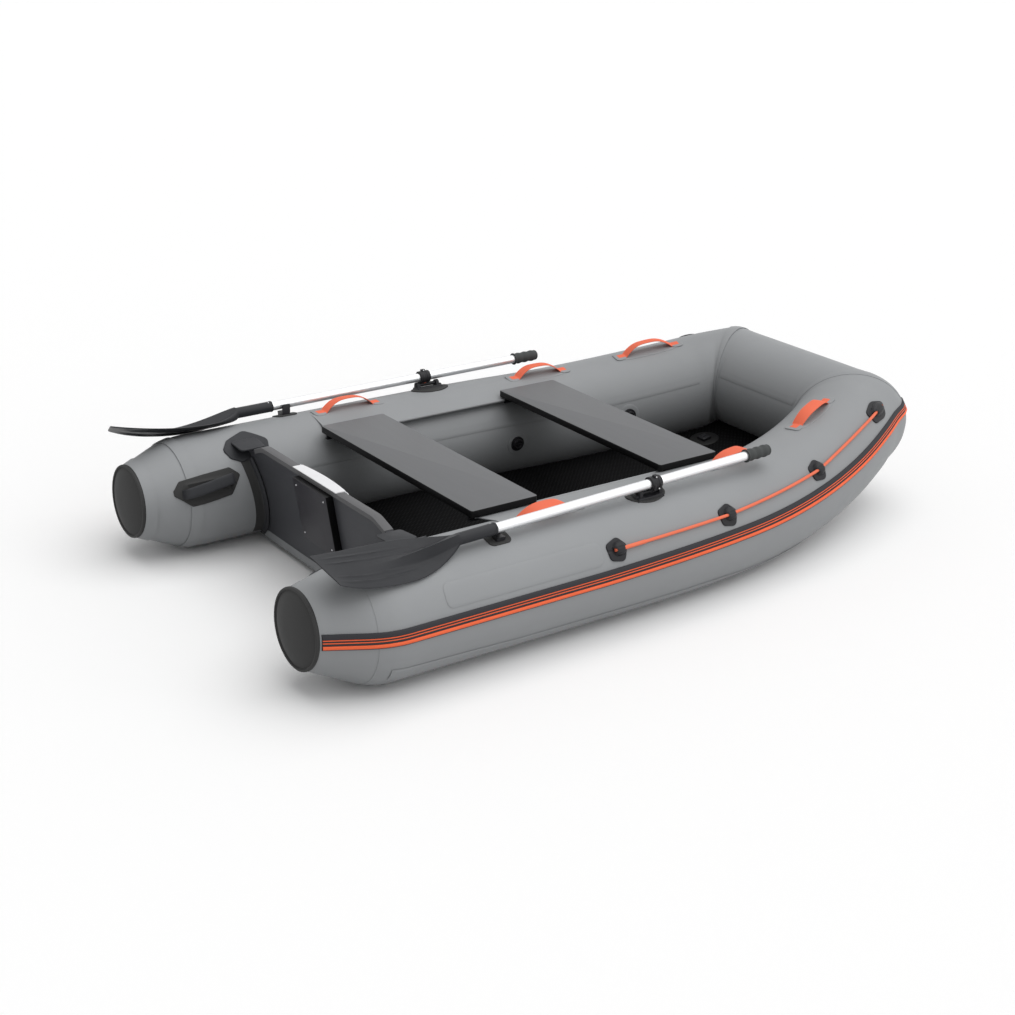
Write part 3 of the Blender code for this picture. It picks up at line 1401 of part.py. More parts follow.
def make_grip(name, matrix):
    """Moulded grip: a flange at its aft end, shallow flutes and a rounded forward end."""
    bore = SHAFT_RADIUS + GAP
    end = GRIP_AFT + GRIP_LENGTH
    seat = shaft_forward() + 2 * GAP
    flange = GRIP_RADIUS + GRIP_FLANGE
    rounding = 0.5 * GRIP_END_WALL
    profile = [(bore, GRIP_AFT), (flange, GRIP_AFT), (flange, GRIP_AFT + 2 * GRIP_FLANGE)]
    start = GRIP_AFT + 4 * GRIP_FLANGE
    length = end - 2 * rounding - start
    for i in range(2 * GRIP_FLUTES):
        shrink = 0.95 if i % 2 == 0 else 1.0
        profile.append((shrink * GRIP_RADIUS, start + length * i / (2 * GRIP_FLUTES)))
    profile += [(GRIP_RADIUS, end - rounding), (0.75 * GRIP_RADIUS, end)]
    profile += [(0.3 * GRIP_RADIUS, end), (0.3 * GRIP_RADIUS, seat), (bore, seat)]
    local = x_axis_frame(Matrix())
    grip = turned(name + "_oar_grip", local, profile, 16, "black_rubber", True)
    grip.matrix_world = matrix


def blade_half_width(x):
    """Half width of the blade at a distance from the pivot, aft being negative."""
    if x > BLADE_THROAT:
        return BLADE_SLEEVE_RADIUS
    if x > BLADE_WIDEST:
        part = (BLADE_THROAT - x) / (BLADE_THROAT - BLADE_WIDEST)
        ease = sin(0.5 * pi * min(1.0, part * 1.15)) ** 1.2
        return BLADE_SLEEVE_RADIUS + (BLADE_HALF_WIDTH - BLADE_SLEEVE_RADIUS) * ease
    part = (BLADE_WIDEST - x) / (BLADE_WIDEST - BLADE_TIP)
    return BLADE_HALF_WIDTH + (BLADE_TIP_HALF_WIDTH - BLADE_HALF_WIDTH) * part ** 1.8


def blade_half_thickness(x):
    if x > BLADE_THROAT:
        return BLADE_SLEEVE_RADIUS
    part = min(1.0, (BLADE_THROAT - x) / (0.45 * (BLADE_THROAT - BLADE_WIDEST)))
    thin = 0.5 * BLADE_THICKNESS
    return thin + (BLADE_SLEEVE_RADIUS - thin) * (1 - part) ** 1.5


def blade_offset(x):
    """Distance of the blade's middle from the shaft's axis, along the blade's normal."""
    if x > BLADE_THROAT:
        return 0.0
    part = (BLADE_THROAT - x) / (BLADE_THROAT - BLADE_TIP)
    spoon = BLADE_SPOON * sin(pi * min(1.0, part * 1.05)) ** 1.2 if part < 0.95 else 0.0
    return BLADE_TIP_LIFT * part ** 4 - spoon


def blade_ring(x, side):
    tilt = -side * radians(BLADE_TILT)
    across = Vector((0, cos(tilt), sin(tilt)))
    normal = Vector((0, -sin(tilt), cos(tilt)))
    middle = Vector((x, 0, 0)) + normal * blade_offset(x)
    wide, thick = blade_half_width(x), blade_half_thickness(x)
    ring = []
    for i in range(12):
        angle = 2 * pi * (i + 0.5) / 12
        ring.append(middle + across * (wide * cos(angle)) + normal * (thick * sin(angle)))
    return ring


def make_blade(name, matrix, side):
    stations = [BLADE_SLEEVE_START, BLADE_SLEEVE_START - 0.05]
    stations += spread(BLADE_THROAT + 0.01, BLADE_TIP, BLADE_STEPS)
    blade = loft(name + "_oar_blade", [blade_ring(x, side) for x in stations], "black_rubber")
    blade.matrix_world = matrix
    socket = rod(
        name + "_blade_socket",
        x_axis_frame(Matrix()),
        SHAFT_RADIUS + GAP,
        SHAFT_AFT - GAP,
        BLADE_SLEEVE_START + 0.02,
        SHAFT_SIDES,
    )
    socket.matrix_world = matrix
    combine(blade, socket, "DIFFERENCE")


def make_clip(name, side, clearance):
    """A hook glued to the tube that holds the stowed shaft from inboard, open outboard."""
    shaft = oar_frame(side)
    along = shaft.to_3x3().col[0]
    station_x = CLIP_STATION - ORIGIN_STATION
    travel = (station_x - shaft.translation.x) / along.x
    axis = shaft.translation + along * travel
    centre = side_section(CLIP_STATION, side)[0]
    angle = degrees(atan2(axis.z - centre.z, side * (axis.y - centre.y)))
    outline = rounded(
        [
            (-CLIP_PATCH_HALF_LENGTH, -CLIP_PATCH_HALF_WIDTH),
            (CLIP_PATCH_HALF_LENGTH, -CLIP_PATCH_HALF_WIDTH),
            (CLIP_PATCH_HALF_LENGTH, CLIP_PATCH_HALF_WIDTH),
            (-CLIP_PATCH_HALF_LENGTH, CLIP_PATCH_HALF_WIDTH),
        ],
        0.6 * CLIP_PATCH_HALF_WIDTH,
        3,
    )
    thick = CLIP_PATCH_THICKNESS
    heights = ((1.0, 0.5 * thick), (0.92, thick))
    pad = wrapped_pad(name + "_oar_clip", CLIP_STATION, angle, outline, heights, side, "black_rubber")
    reach = SHAFT_RADIUS + CLIP_SIDE_CLEARANCE
    floor = -(SHAFT_RADIUS + CLIP_FLOOR_CLEARANCE)
    root = floor - 2 * CLIP_WALL
    inner = -reach
    outer = -reach - CLIP_WALL
    outline = [
        (outer, root - CLIP_WALL),
        (0.55 * reach, root - CLIP_WALL),
        (0.75 * reach, floor),
        (-0.45 * reach, floor),
        (inner, 0.45 * floor),
        (inner, 0.10 * reach),
        (0.5 * (inner + outer), 0.28 * reach),
        (outer, 0.10 * reach),
    ]
    ends = []
    for step in (-0.5, 0.5):
        place = axis + Vector((step * CLIP_LENGTH, 0, 0))
        ends.append([place + Vector((0, side * y, z)) for y, z in outline])
    combine(pad, prism(name + "_clip_hook", *ends), "UNION")
    combine(pad, clearance, "DIFFERENCE")


def make_oars(clearance):
    for name, side in SIDES:
        make_oarlock_base(name, side, clearance)
        make_clip(name, side, clearance)
        make_knuckle(name, side)
        matrix = oar_frame(side)
        make_collar(name, matrix)
        make_shaft(name, matrix)
        make_grip(name, matrix)
        make_blade(name, matrix, side)


def main():
    clear_scene()
    clearance = hull_clearance()
    make_chambers()
    make_stern_caps()
    make_rub_strake(clearance)
    make_bottom_sheet(clearance)
    make_deck()
    make_transom()
    make_edge_trim()
    make_channels(clearance)
    make_holders(clearance)
    make_motor_plates()
    make_stern_handles(clearance)
    make_grab_handles(clearance)
    make_grab_lines()
    make_fairleads(clearance)
    make_seat_tracks(clearance)
    make_seats()
    make_valves()
    make_deck_valve()
    make_oars(clearance)


main()
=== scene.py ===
"""Looks of an inflatable rowing boat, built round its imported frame.

Stations are distances along the boat from the plane of the stern caps, in metres. Girth angles run
round a side tube in degrees, from 0 outboard, over 90 on top, to 180 inboard.
"""

from math import acos, asin, atan2, ceil, cos, degrees, hypot, pi, radians, sin, sqrt, tan

import bmesh
import bpy
from bpy.props import FloatProperty, FloatVectorProperty, PointerProperty
from mathutils import Matrix, Vector


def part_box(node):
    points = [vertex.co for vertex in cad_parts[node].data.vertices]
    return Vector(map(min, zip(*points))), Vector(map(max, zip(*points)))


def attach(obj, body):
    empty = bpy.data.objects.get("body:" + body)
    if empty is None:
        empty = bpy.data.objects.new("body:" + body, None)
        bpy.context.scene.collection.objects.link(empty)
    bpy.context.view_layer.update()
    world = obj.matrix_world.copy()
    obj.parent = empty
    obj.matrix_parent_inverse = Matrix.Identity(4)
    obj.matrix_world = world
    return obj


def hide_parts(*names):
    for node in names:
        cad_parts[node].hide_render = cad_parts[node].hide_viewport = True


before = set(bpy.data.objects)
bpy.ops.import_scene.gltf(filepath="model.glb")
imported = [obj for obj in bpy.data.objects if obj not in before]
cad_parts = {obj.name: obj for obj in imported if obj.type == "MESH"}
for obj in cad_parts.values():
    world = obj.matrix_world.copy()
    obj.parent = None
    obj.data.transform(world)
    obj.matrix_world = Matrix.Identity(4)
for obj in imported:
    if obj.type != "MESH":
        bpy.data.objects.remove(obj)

bl_info = {
    "name": "Inflatable Boat Finish",
    "version": (1, 0, 0),
    "blender": (4, 5, 0),
    "location": "View3D > Sidebar > Boat",
    "description": "Builds the fabric, boards, rubber mouldings and oars of an inflatable boat",
    "category": "Object",
}

SIDES = (("port", 1), ("starboard", -1))
GAP = 0.0003
SINK = 0.004

# Air chambers
TUBE_RADIUS = 0.189
SIDE_AXIS_Y = 0.5817
CONE_STATION = 0.176
CONE_EASE = 0.36
BEND_STATION = 0.924
RISE_STATION = 1.540
MITRE_STATION = 2.451
MITRE_Y = 0.321
BOW_RISE = 0.1178
LAST_SIDE_STATION = 2.31
BAFFLE_STATION = 1.74
CORNER_SWELL = 0.136
CORNER_POWER = 5.5
CORNER_INNER_RADIUS = 0.020
CORNER_DROP = 0.10
BOW_STRAIGHT_HALF = 0.18
CAP_Y = 0.555
CAP_Z = 0.207
CAP_RADIUS = 0.118
CAP_TILT = 0.03

# Transom
TRANSOM_AFT = 0.378
TRANSOM_THICKNESS = 0.026
TRANSOM_TOP = 2 * TUBE_RADIUS + 0.008
TRANSOM_SLOPE = tan(radians(10.0))
SHOULDER_Y = SIDE_AXIS_Y - 0.168
SHOULDER_LENGTH = 0.070
SHOULDER_DROP = 0.030
SHEET_DROP = TUBE_RADIUS - 0.025
SHEET_STERN_Z = TUBE_RADIUS - 0.164
TRANSOM_FOOT = TRANSOM_AFT + (TRANSOM_TOP - SHEET_STERN_Z) * TRANSOM_SLOPE
SHEET_THICKNESS = 0.003
RAMP_STATION = 0.60
DECK_THICKNESS = 0.040
DECK_DROP = SHEET_DROP - DECK_THICKNESS - 0.0075

# Seats, grab lines and oars
SEAT_TOP = 2 * TUBE_RADIUS + 0.002
SEAT_THICKNESS = 0.023
SEAT_HALF_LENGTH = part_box("aft_seat")[1].y
BEAD_RADIUS = 0.005
BEAD_Y = SEAT_HALF_LENGTH - 0.022
BEAD_Z = SEAT_TOP - SEAT_THICKNESS - 0.010
FAIRLEADS = ((0.993, 31.0), (1.452, 33.0), (1.914, 38.6), (2.332, 45.0))
LINE_RADIUS = 0.0055
LINE_IN_FAIRLEAD = 0.011
LINE_ON_TUBE = 0.0075
OARLOCK_STATION = 1.211
OARLOCK_ANGLE = 78.0
PIVOT_OFFSET = 0.015
SHAFT_RADIUS = 0.0155
BARREL_RADIUS = 0.0065
PIN_HEIGHT = 0.017
SHAFT_ABOVE_PIN = SHAFT_RADIUS + BARREL_RADIUS + 0.006
SHAFT_TOE_IN = 0.0248
SHAFT_RISE = 0.0168

# Oar blade, as distances forward of the oar's pivot
BLADE_START = -0.622
BLADE_THROAT = -0.755
BLADE_WIDEST = -0.982
BLADE_TIP = -1.205
BLADE_HALF_WIDTH = 0.079
BLADE_TIP_HALF = 0.061
BLADE_TILT = 15.0
SLEEVE_RADIUS = SHAFT_RADIUS + 0.003

# Spots on the side tubes as (station, girth angle), and seams as (first girth angle, width).
# A valve or grab handle has its name first, and HANDLE_LEAN is in degrees of girth to a metre.
INNER_SEAM = (150.5, 9)
BOW_SEAM = (155, 8)
KEEL = ((0.18, -39.5), (0.48, -44), (0.64, -47.6), (1.47, -53.5), (1.78, -62), (2.31, -76))
KEEL_SEAM = (KEEL, 14)
SIDE_PATCH = (0.648, 31.8)
HOLDER = (0.396, 117.5)
STERN_HANDLE = (0.212, 157)
HANDLE_LEAN = 39
VALVES = (("port", 1.465, 181, 1), ("starboard", 1.465, 181, -1), ("bow", 1.977, 176, 1))
GRAB_HANDLES = (("aft", 0.842, 92), ("mid", 1.660, 96), ("fore", 2.146, 96))
TRACK_START = 0.690
TRACK_LENGTH = 1.010
CLIP_STATION = 0.622

# The frame's origin, as a station
ORIGIN = TRANSOM_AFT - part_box("transom_board")[0].x

# Photograph: focal length in pixels of its 1015 pixel width, and where the camera stood and looked
PHOTO_PIXELS = 1015
FOCAL_PIXELS = 1673.154
CAMERA_STATION = (-2.04772, -4.24702, 2.31219)
CAMERA_YAW = 0.928173
CAMERA_PITCH = 0.389592
CAMERA_ROLL = 0.034107

# Studio: the name, strength and direction of each lamp, and the light that comes from all around
LAMPS = (
    ("overhead_softbox", 1.58, (0.20, -0.15, 0.97)),
    ("side_softbox", 0.70, (0.35, -0.85, 0.35)),
)
LAMP_SPREAD = 70.0
WORLD_STRENGTH = 0.42


# Settings that a user would change


def linear(hex_text):
    """sRGB hex text as linear red, green and blue."""
    values = []
    for i in (1, 3, 5):
        value = int(hex_text[i:i + 2], 16) / 255
        values.append(value / 12.92 if value <= 0.04045 else ((value + 0.055) / 1.055) ** 2.4)
    return tuple(values)


def colour(title, hex_text, about):
    return FloatVectorProperty(
        name=title, description=about, default=linear(hex_text), subtype="COLOR", min=0, max=1
    )


def length(title, metres, about):
    return FloatProperty(
        name=title, description=about, default=metres, subtype="DISTANCE", unit="LENGTH", min=0
    )


class BoatColours(bpy.types.PropertyGroup):
    tube: colour("Tubes", "#919395", "Coated fabric of the air chambers")
    deck: colour("Deck", "#070708", "Treaded fabric of the inflatable deck")
    strake: colour("Strake", "#1b1b1d", "Rubber of the rub strake and its grooves")
    accent: colour("Accent", "#f66c42", "Lines of the strake, webbing and grab lines")
    seat: colour("Seats", "#68696b", "Top faces of the seat boards")
    board_edge: colour("Board edges", "#0c0c0d", "Sealed edges of the seat boards")
    transom: colour("Transom", "#46474b", "Painted faces of the transom board")
    trim: colour("Trim", "#606164", "Edging of the transom board")
    pad: colour("Motor pad", "#323136", "Film faced outer motor plate")
    plate: colour("Inner plate", "#ececee", "Plate folded over the transom's edge")
    rubber: colour("Mouldings", "#1a1a1c", "Stern caps, channels and handles")
    # The holders' own grey, also used as the painted highlight on the channel lips and handle bars
    holder: colour("Holders", "#353639", "Transom holders")
    fitting: colour("Fittings", "#242427", "Oarlocks, fairleads, clips and valves")
    blade: colour("Blades", "#2c2d30", "Moulded oar blades")
    grip: colour("Grips", "#29292c", "Rubber grips of the oars")
    shaft: colour("Shafts", "#8e8f91", "Drawn aluminium of the oar shafts")
    screw: colour("Screws", "#c9cacc", "Screws and rivets")


class BoatSizes(bpy.types.PropertyGroup):
    tape_width: length("Seam tape", 0.040, "Width of the tape over a seam round a tube")
    tape_height: length("Tape height", 0.0012, "How far a tape or patch stands over the fabric")
    thread_pitch: length("Thread pitch", 0.0020, "Pitch of the weave, drawn twice as coarse")
    tread_pitch: length("Tread pitch", 0.0125, "Pitch of the diamonds in the deck's tread")
    webbing_rib: length("Webbing rib", 0.0022, "Pitch of the ribs across the webbing")
    strand_length: length("Strand length", 0.034, "Length in which a strand goes round the rope")
    floor_size: length("Floor", 60.0, "Half size of the studio floor")


def sizes():
    return bpy.context.scene.boat_sizes


# Materials


def node(tree, kind, inputs=None, **settings):
    """Add a shader node with its settings, and set or link its inputs."""
    made = tree.nodes.new("ShaderNode" + kind)
    for key, value in settings.items():
        setattr(made, key, value)
    for key, value in (inputs or {}).items():
        if isinstance(value, bpy.types.NodeSocket):
            tree.links.new(value, made.inputs[key])
        else:
            made.inputs[key].default_value = value
    return made


def combined(tree, operation, first, second):
    return node(tree, "Math", {0: first, 1: second}, operation=operation).outputs[0]


def strength(texture):
    """A texture's grey output, which has a shorter name in older versions."""
    return texture.outputs["Factor" if "Factor" in texture.outputs else "Fac"]


class Look:
    """A material in the making, with its node tree, shader and tint."""

    def __init__(self, name, tint, **sockets):
        self.material = bpy.data.materials.new(name)
        self.material.use_nodes = True
        self.tree = self.material.node_tree
        self.shader = self.tree.nodes["Principled BSDF"]
        self.tint = tint
        self.surface(base_color=(*tint, 1.0), **sockets)

    def surface(self, **sockets):
        for key, value in sockets.items():
            title = key.replace("_", " ").title().replace("Ior", "IOR")
            self.shader.inputs[title].default_value = value

    def place(self, space, **mapping):
        place = node(self.tree, "TexCoord").outputs[space]
        if mapping:
            place = node(self.tree, "Mapping", {"Vector": place, **mapping}).outputs["Vector"]
        return place

    def noise(self, size, detail=2.0, stretch=None, space="Object"):
        """Soft noise whose blobs are about size metres across."""
        place = self.place(space, Scale=stretch) if stretch else self.place(space)
        sockets = {"Vector": place, "Scale": 1 / size, "Detail": detail}
        return strength(node(self.tree, "TexNoise", sockets))

    def ribs(self, direction, pitch, space="UV", turn=0.0):
        """Bands with a real pitch in metres; a wave repeats every pi / 10 of its scale."""
        place = self.place(space, Rotation=(0, 0, turn)) if turn else self.place(space)
        sockets = {"Vector": place, "Scale": pi / (10 * pitch)}
        return strength(node(
            self.tree, "TexWave", sockets, wave_type="BANDS", bands_direction=direction
        ))

    def plus(self, first, second):
        return combined(self.tree, "ADD", first, second)

    def times(self, first, second):
        return combined(self.tree, "MULTIPLY", first, second)

    def relief(self, height, depth):
        made = node(self.tree, "Bump", {"Height": height, "Distance": depth, "Strength": 1.0})
        self.tree.links.new(made.outputs["Normal"], self.shader.inputs["Normal"])

    def mix_colour(self, factor, first, second):
        sockets = {0: factor, 6: (*first, 1.0), 7: (*second, 1.0)}
        mixed = node(self.tree, "Mix", sockets, data_type="RGBA")
        self.tree.links.new(mixed.outputs[2], self.shader.inputs["Base Color"])

    def vary_colour(self, factor, amount):
        """Darken and lighten the tint a little by a pattern."""
        dark = [c * (1 - amount) for c in self.tint]
        light = [min(1.0, c * (1 + amount)) for c in self.tint]
        self.mix_colour(factor, dark, light)

    def vary_roughness(self, low, high, factor):
        made = node(self.tree, "MapRange", {"Value": factor, "To Min": low, "To Max": high})
        self.tree.links.new(made.outputs["Result"], self.shader.inputs["Roughness"])


def coated_fabric(look):
    """PVC coated polyester, calendered: an even satin skin, with its weave just showing."""
    look.surface(roughness=0.5, specular_ior_level=0.4)
    pitch = sizes().thread_pitch
    weave = look.times(look.ribs("X", pitch), look.ribs("Y", pitch))
    look.relief(look.plus(look.times(weave, 0.7), look.noise(0.0016, 3.0)), 0.00005)
    look.vary_colour(look.noise(0.22, 4.0), 0.035)
    look.vary_roughness(0.46, 0.60, look.noise(0.05, 4.0))


def tread_fabric(look):
    """Embossed PVC deck sheet: small raised diamonds, matt in the hollows and glossier on top, its
    colour darker in the hollows and lighter on the diamonds.
    """
    look.surface(roughness=0.6, specular_ior_level=0.08)
    pitch, turn = sizes().tread_pitch, radians(45)
    waves = [look.ribs(direction, pitch, "Object", turn) for direction in "XY"]
    sockets = {"Value": look.times(*waves), "From Min": 0.15, "From Max": 0.6}
    stud = node(look.tree, "MapRange", sockets).outputs["Result"]
    look.relief(stud, 0.0009)
    # The colour follows the studs: darker in the hollows and lighter on the diamonds' tops
    look.vary_colour(stud, 0.35)
    look.vary_roughness(0.66, 0.42, stud)


def moulded_rubber(look):
    """Compression moulded rubber: a fine spark eroded skin that spreads the light."""
    look.surface(roughness=0.5, specular_ior_level=0.17)
    look.relief(look.noise(0.0014, 4.0), 0.00012)
    look.vary_colour(look.noise(0.03, 5.0), 0.12)
    look.vary_roughness(0.42, 0.58, look.noise(0.02, 3.0))


def strake_rubber(look):
    """Extruded rubber: faint drag lines run along it, because it was drawn through a die."""
    look.surface(roughness=0.45, specular_ior_level=0.22)
    lines = look.noise(0.0012, 2.0, (0.01, 1.0, 1.0), "UV")
    look.relief(lines, 0.00010)
    look.vary_colour(look.noise(0.08, 3.0), 0.06)
    look.vary_roughness(0.40, 0.52, lines)


def painted_board(look):
    """Painted plywood: a satin coat rolled on, with a fine stipple and a trace of veneer."""
    look.surface(roughness=0.5, specular_ior_level=0.25)
    stipple = look.noise(0.0022, 3.0)
    veneer = look.noise(0.012, 3.0, (1.0, 0.06, 1.0))
    look.relief(look.plus(stipple, veneer), 0.00010)
    look.vary_colour(veneer, 0.05)
    look.vary_roughness(0.42, 0.56, stipple)


def film_board(look):
    """Film faced plywood: a hard phenolic film pressed over a fine wire mesh pattern."""
    look.surface(roughness=0.45, specular_ior_level=0.22)
    mesh = look.times(look.ribs("Y", 0.004, "Object"), look.ribs("Z", 0.004, "Object"))
    look.relief(mesh, 0.00012)
    look.vary_colour(look.noise(0.02, 4.0), 0.08)
    look.vary_roughness(0.38, 0.50, mesh)


def moulded_plastic(look):
    """Injection moulded polyethylene or nylon: a light texture and a slightly uneven gloss."""
    look.surface(roughness=0.4, specular_ior_level=0.2)
    look.relief(look.noise(0.0011), 0.00005)
    look.vary_colour(look.noise(0.04, 3.0), 0.05)
    look.vary_roughness(0.34, 0.46, look.noise(0.03, 3.0))


def glass_nylon(look):
    """Glass filled nylon: flow lines of the fibres run down the blade and break its gloss."""
    look.surface(roughness=0.42, specular_ior_level=0.2)
    flow = look.noise(0.004, 4.0, (0.10, 1.0, 1.0))
    look.relief(flow, 0.00010)
    look.vary_colour(flow, 0.10)
    look.vary_roughness(0.36, 0.50, look.noise(0.02, 4.0))


def woven_webbing(look):
    """Polyester webbing: crosswise ribs and yarns, with the soft sheen of filament yarn."""
    look.surface(roughness=0.65, ior=1.5, sheen_weight=0.25, sheen_roughness=0.4)
    pitch = sizes().webbing_rib
    yarn = look.times(look.ribs("X", pitch), look.ribs("Y", 1.4 * pitch))
    look.relief(look.plus(yarn, look.noise(0.0015, space="UV")), 0.00035)
    look.vary_colour(yarn, 0.12)


def braided_rope(look):
    """Braided polypropylene: filaments lie along the strands that its mesh already shows."""
    look.surface(roughness=0.55, ior=1.49, sheen_weight=0.2, sheen_roughness=0.4)
    strand = look.noise(0.0012, 3.0, (0.35, 1.0, 1.0), "UV")
    look.relief(strand, 0.00030)
    look.vary_colour(strand, 0.12)


def drawn_aluminium(look):
    """Anodised drawn tube: long die lines that stretch the highlights round it."""
    look.surface(roughness=0.4, metallic=0.3)
    lines = look.noise(0.0016, 3.0, (0.004, 1.0, 1.0), "UV")
    look.relief(lines, 0.00008)
    look.vary_colour(lines, 0.12)
    look.vary_roughness(0.34, 0.46, lines)


def soft_grip(look):
    """Moulded grip rubber: matt, slightly tacky skin with a coarse texture for wet hands."""
    look.surface(roughness=0.7, specular_ior_level=0.15)
    look.relief(look.noise(0.0018, 4.0), 0.00030)
    look.vary_colour(look.noise(0.01, 4.0), 0.12)
    look.vary_roughness(0.60, 0.78, look.noise(0.01, 3.0))


def stainless(look):
    """Stainless steel fasteners: tumbled bright, with a faint brushed haze."""
    look.surface(roughness=0.25, metallic=1.0)
    haze = look.noise(0.0008, 3.0)
    look.vary_roughness(0.2, 0.34, haze)
    look.vary_colour(haze, 0.05)


# Finish name: its recipe, its colour and the record's slot
FINISHES = {
    "coated_fabric": (coated_fabric, "tube", "hull_fabric"),
    "tread_fabric": (tread_fabric, "deck", "deck_fabric"),
    "disc_fabric": (coated_fabric, "deck", "deck_fabric"),
    "strake_rubber": (strake_rubber, "strake", "strake_rubber"),
    "strake_line": (strake_rubber, "accent", "strake_rubber"),
    "seat_paint": (painted_board, "seat", "seat_board"),
    "board_edge": (moulded_plastic, "board_edge", "seat_board"),
    "transom_paint": (painted_board, "transom", "transom_board"),
    "edge_trim": (moulded_plastic, "trim", "edge_trim"),
    "pad_film": (film_board, "pad", "motor_pad"),
    "plate_plastic": (moulded_plastic, "plate", "white_plate"),
    "moulded_rubber": (moulded_rubber, "rubber", "moulded_rubber"),
    "holder_rubber": (moulded_rubber, "holder", "holder_plastic"),
    # A lighter grey copy of the same moulded rubber: a painted highlight on the channel lips and
    # handle bars
    "lip_rubber": (moulded_rubber, "holder", "moulded_rubber"),
    "fitting_nylon": (moulded_plastic, "fitting", "black_plastic"),
    "valve_acetal": (moulded_plastic, "fitting", "valve_plastic"),
    "blade_nylon": (glass_nylon, "blade", "blade_plastic"),
    "grip_rubber": (soft_grip, "grip", "grip_rubber"),
    "shaft_aluminium": (drawn_aluminium, "shaft", "shaft_aluminium"),
    "webbing": (woven_webbing, "accent", "webbing"),
    "rope": (braided_rope, "accent", "rope"),
    "steel": (stainless, "screw", None),
}


def material(finish):
    found = bpy.data.materials.get(finish)
    if found:
        return found
    recipe, tint, _ = FINISHES[finish]
    look = Look(finish, tuple(getattr(bpy.context.scene.boat_colours, tint)))
    recipe(look)
    return look.material


# Shape of the hull: a section gives a centre, outboard and up directions and two radii


def clamp(value):
    """The value, kept between 0 and 1."""
    return min(1.0, max(0.0, value))


def smooth(part):
    """From 0 to 1, level at both ends."""
    return part * part * (3 - 2 * part)


def eased(part):
    """Straight from 0 to 1, with the corner at 1 rounded off."""
    if part <= 1 - CONE_EASE:
        return part
    if part >= 1 + CONE_EASE:
        return 1.0
    return part - (part - 1 + CONE_EASE) ** 2 / (4 * CONE_EASE)


def side_axis_y(station):
    bend = max(0.0, station - BEND_STATION) / (MITRE_STATION - BEND_STATION)
    return SIDE_AXIS_Y - (SIDE_AXIS_Y - MITRE_Y) * bend ** 3


def side_axis_z(station):
    rise = max(0.0, station - RISE_STATION) / (MITRE_STATION - RISE_STATION)
    return TUBE_RADIUS + BOW_RISE * rise ** 2


def port_section(station):
    """Section of the port tube or its stern cone, square to its axis."""
    part = eased(station / CONE_STATION)
    if part < 1:
        tilt = CAP_TILT * (1 - part)
        radius = CAP_RADIUS + (TUBE_RADIUS - CAP_RADIUS) * part
        y = CAP_Y + (SIDE_AXIS_Y - CAP_Y) * part
        z = CAP_Z + (TUBE_RADIUS - CAP_Z) * part
        centre = Vector((station - ORIGIN, y, z))
        return centre, Vector((0, 1, 0)), Vector((sin(tilt), 0, cos(tilt))), radius, radius
    step = 1e-4
    slope_y = (side_axis_y(station + step) - side_axis_y(station - step)) / (2 * step)
    slope_z = (side_axis_z(station + step) - side_axis_z(station - step)) / (2 * step)
    along = Vector((1, slope_y, slope_z)).normalized()
    out = Vector((-slope_y, 1, 0)).normalized()
    centre = Vector((station - ORIGIN, side_axis_y(station), side_axis_z(station)))
    return centre, out, along.cross(out), TUBE_RADIUS, TUBE_RADIUS


def corner_section(turn):
    """Section through the mitred port bow corner, from -1 at the side tube to 1 at the bow."""
    heading = atan2(3 * (SIDE_AXIS_Y - MITRE_Y), MITRE_STATION - BEND_STATION)
    half = 0.5 * (pi / 2 - heading)
    mitre = Vector((sin(heading + half), cos(heading + half), 0))
    centre_z = TUBE_RADIUS + BOW_RISE * (1 - CORNER_DROP * max(0.0, -2 * turn))
    inner_reach = TUBE_RADIUS / cos(half) + CORNER_INNER_RADIUS
    pivot = Vector((MITRE_STATION, MITRE_Y, 0)) - mitre * inner_reach
    swing = heading + half + turn * half
    out = Vector((sin(swing), cos(swing), 0))
    width = TUBE_RADIUS * (1 + CORNER_SWELL * (1 - turn * turn) ** CORNER_POWER)
    centre = pivot + out * (CORNER_INNER_RADIUS + width)
    centre = Vector((centre.x - ORIGIN, centre.y, centre_z))
    return centre, out, Vector((0, 0, 1)), width, TUBE_RADIUS


def bow_section(y):
    centre = Vector((MITRE_STATION - ORIGIN, y, TUBE_RADIUS + BOW_RISE))
    return centre, Vector((1, 0, 0)), Vector((0, 0, 1)), TUBE_RADIUS, TUBE_RADIUS


def corner_keys():
    """Sections round the port corner to past the middle of the bow, each with its path length."""
    sections = [port_section(LAST_SIDE_STATION - 0.05), port_section(LAST_SIDE_STATION)]
    sections += [corner_section(turn) for turn in (-0.6, -0.4, -0.2, 0.0, 0.2, 0.4, 0.6)]
    sections += [bow_section(y) for y in (BOW_STRAIGHT_HALF, 0.09, 0.0, -0.09)]
    path = LAST_SIDE_STATION - (sections[1][0] - sections[0][0]).length
    keys = []
    for i, section in enumerate(sections):
        if i:
            path += (section[0] - sections[i - 1][0]).length
        keys.append((path, [*section[0], *section[1], *section[2], section[3], section[4]]))
    return keys


CORNER_KEYS = corner_keys()
BOW_PATH = CORNER_KEYS[-2][0]
MITRE_PATH = CORNER_KEYS[5][0]


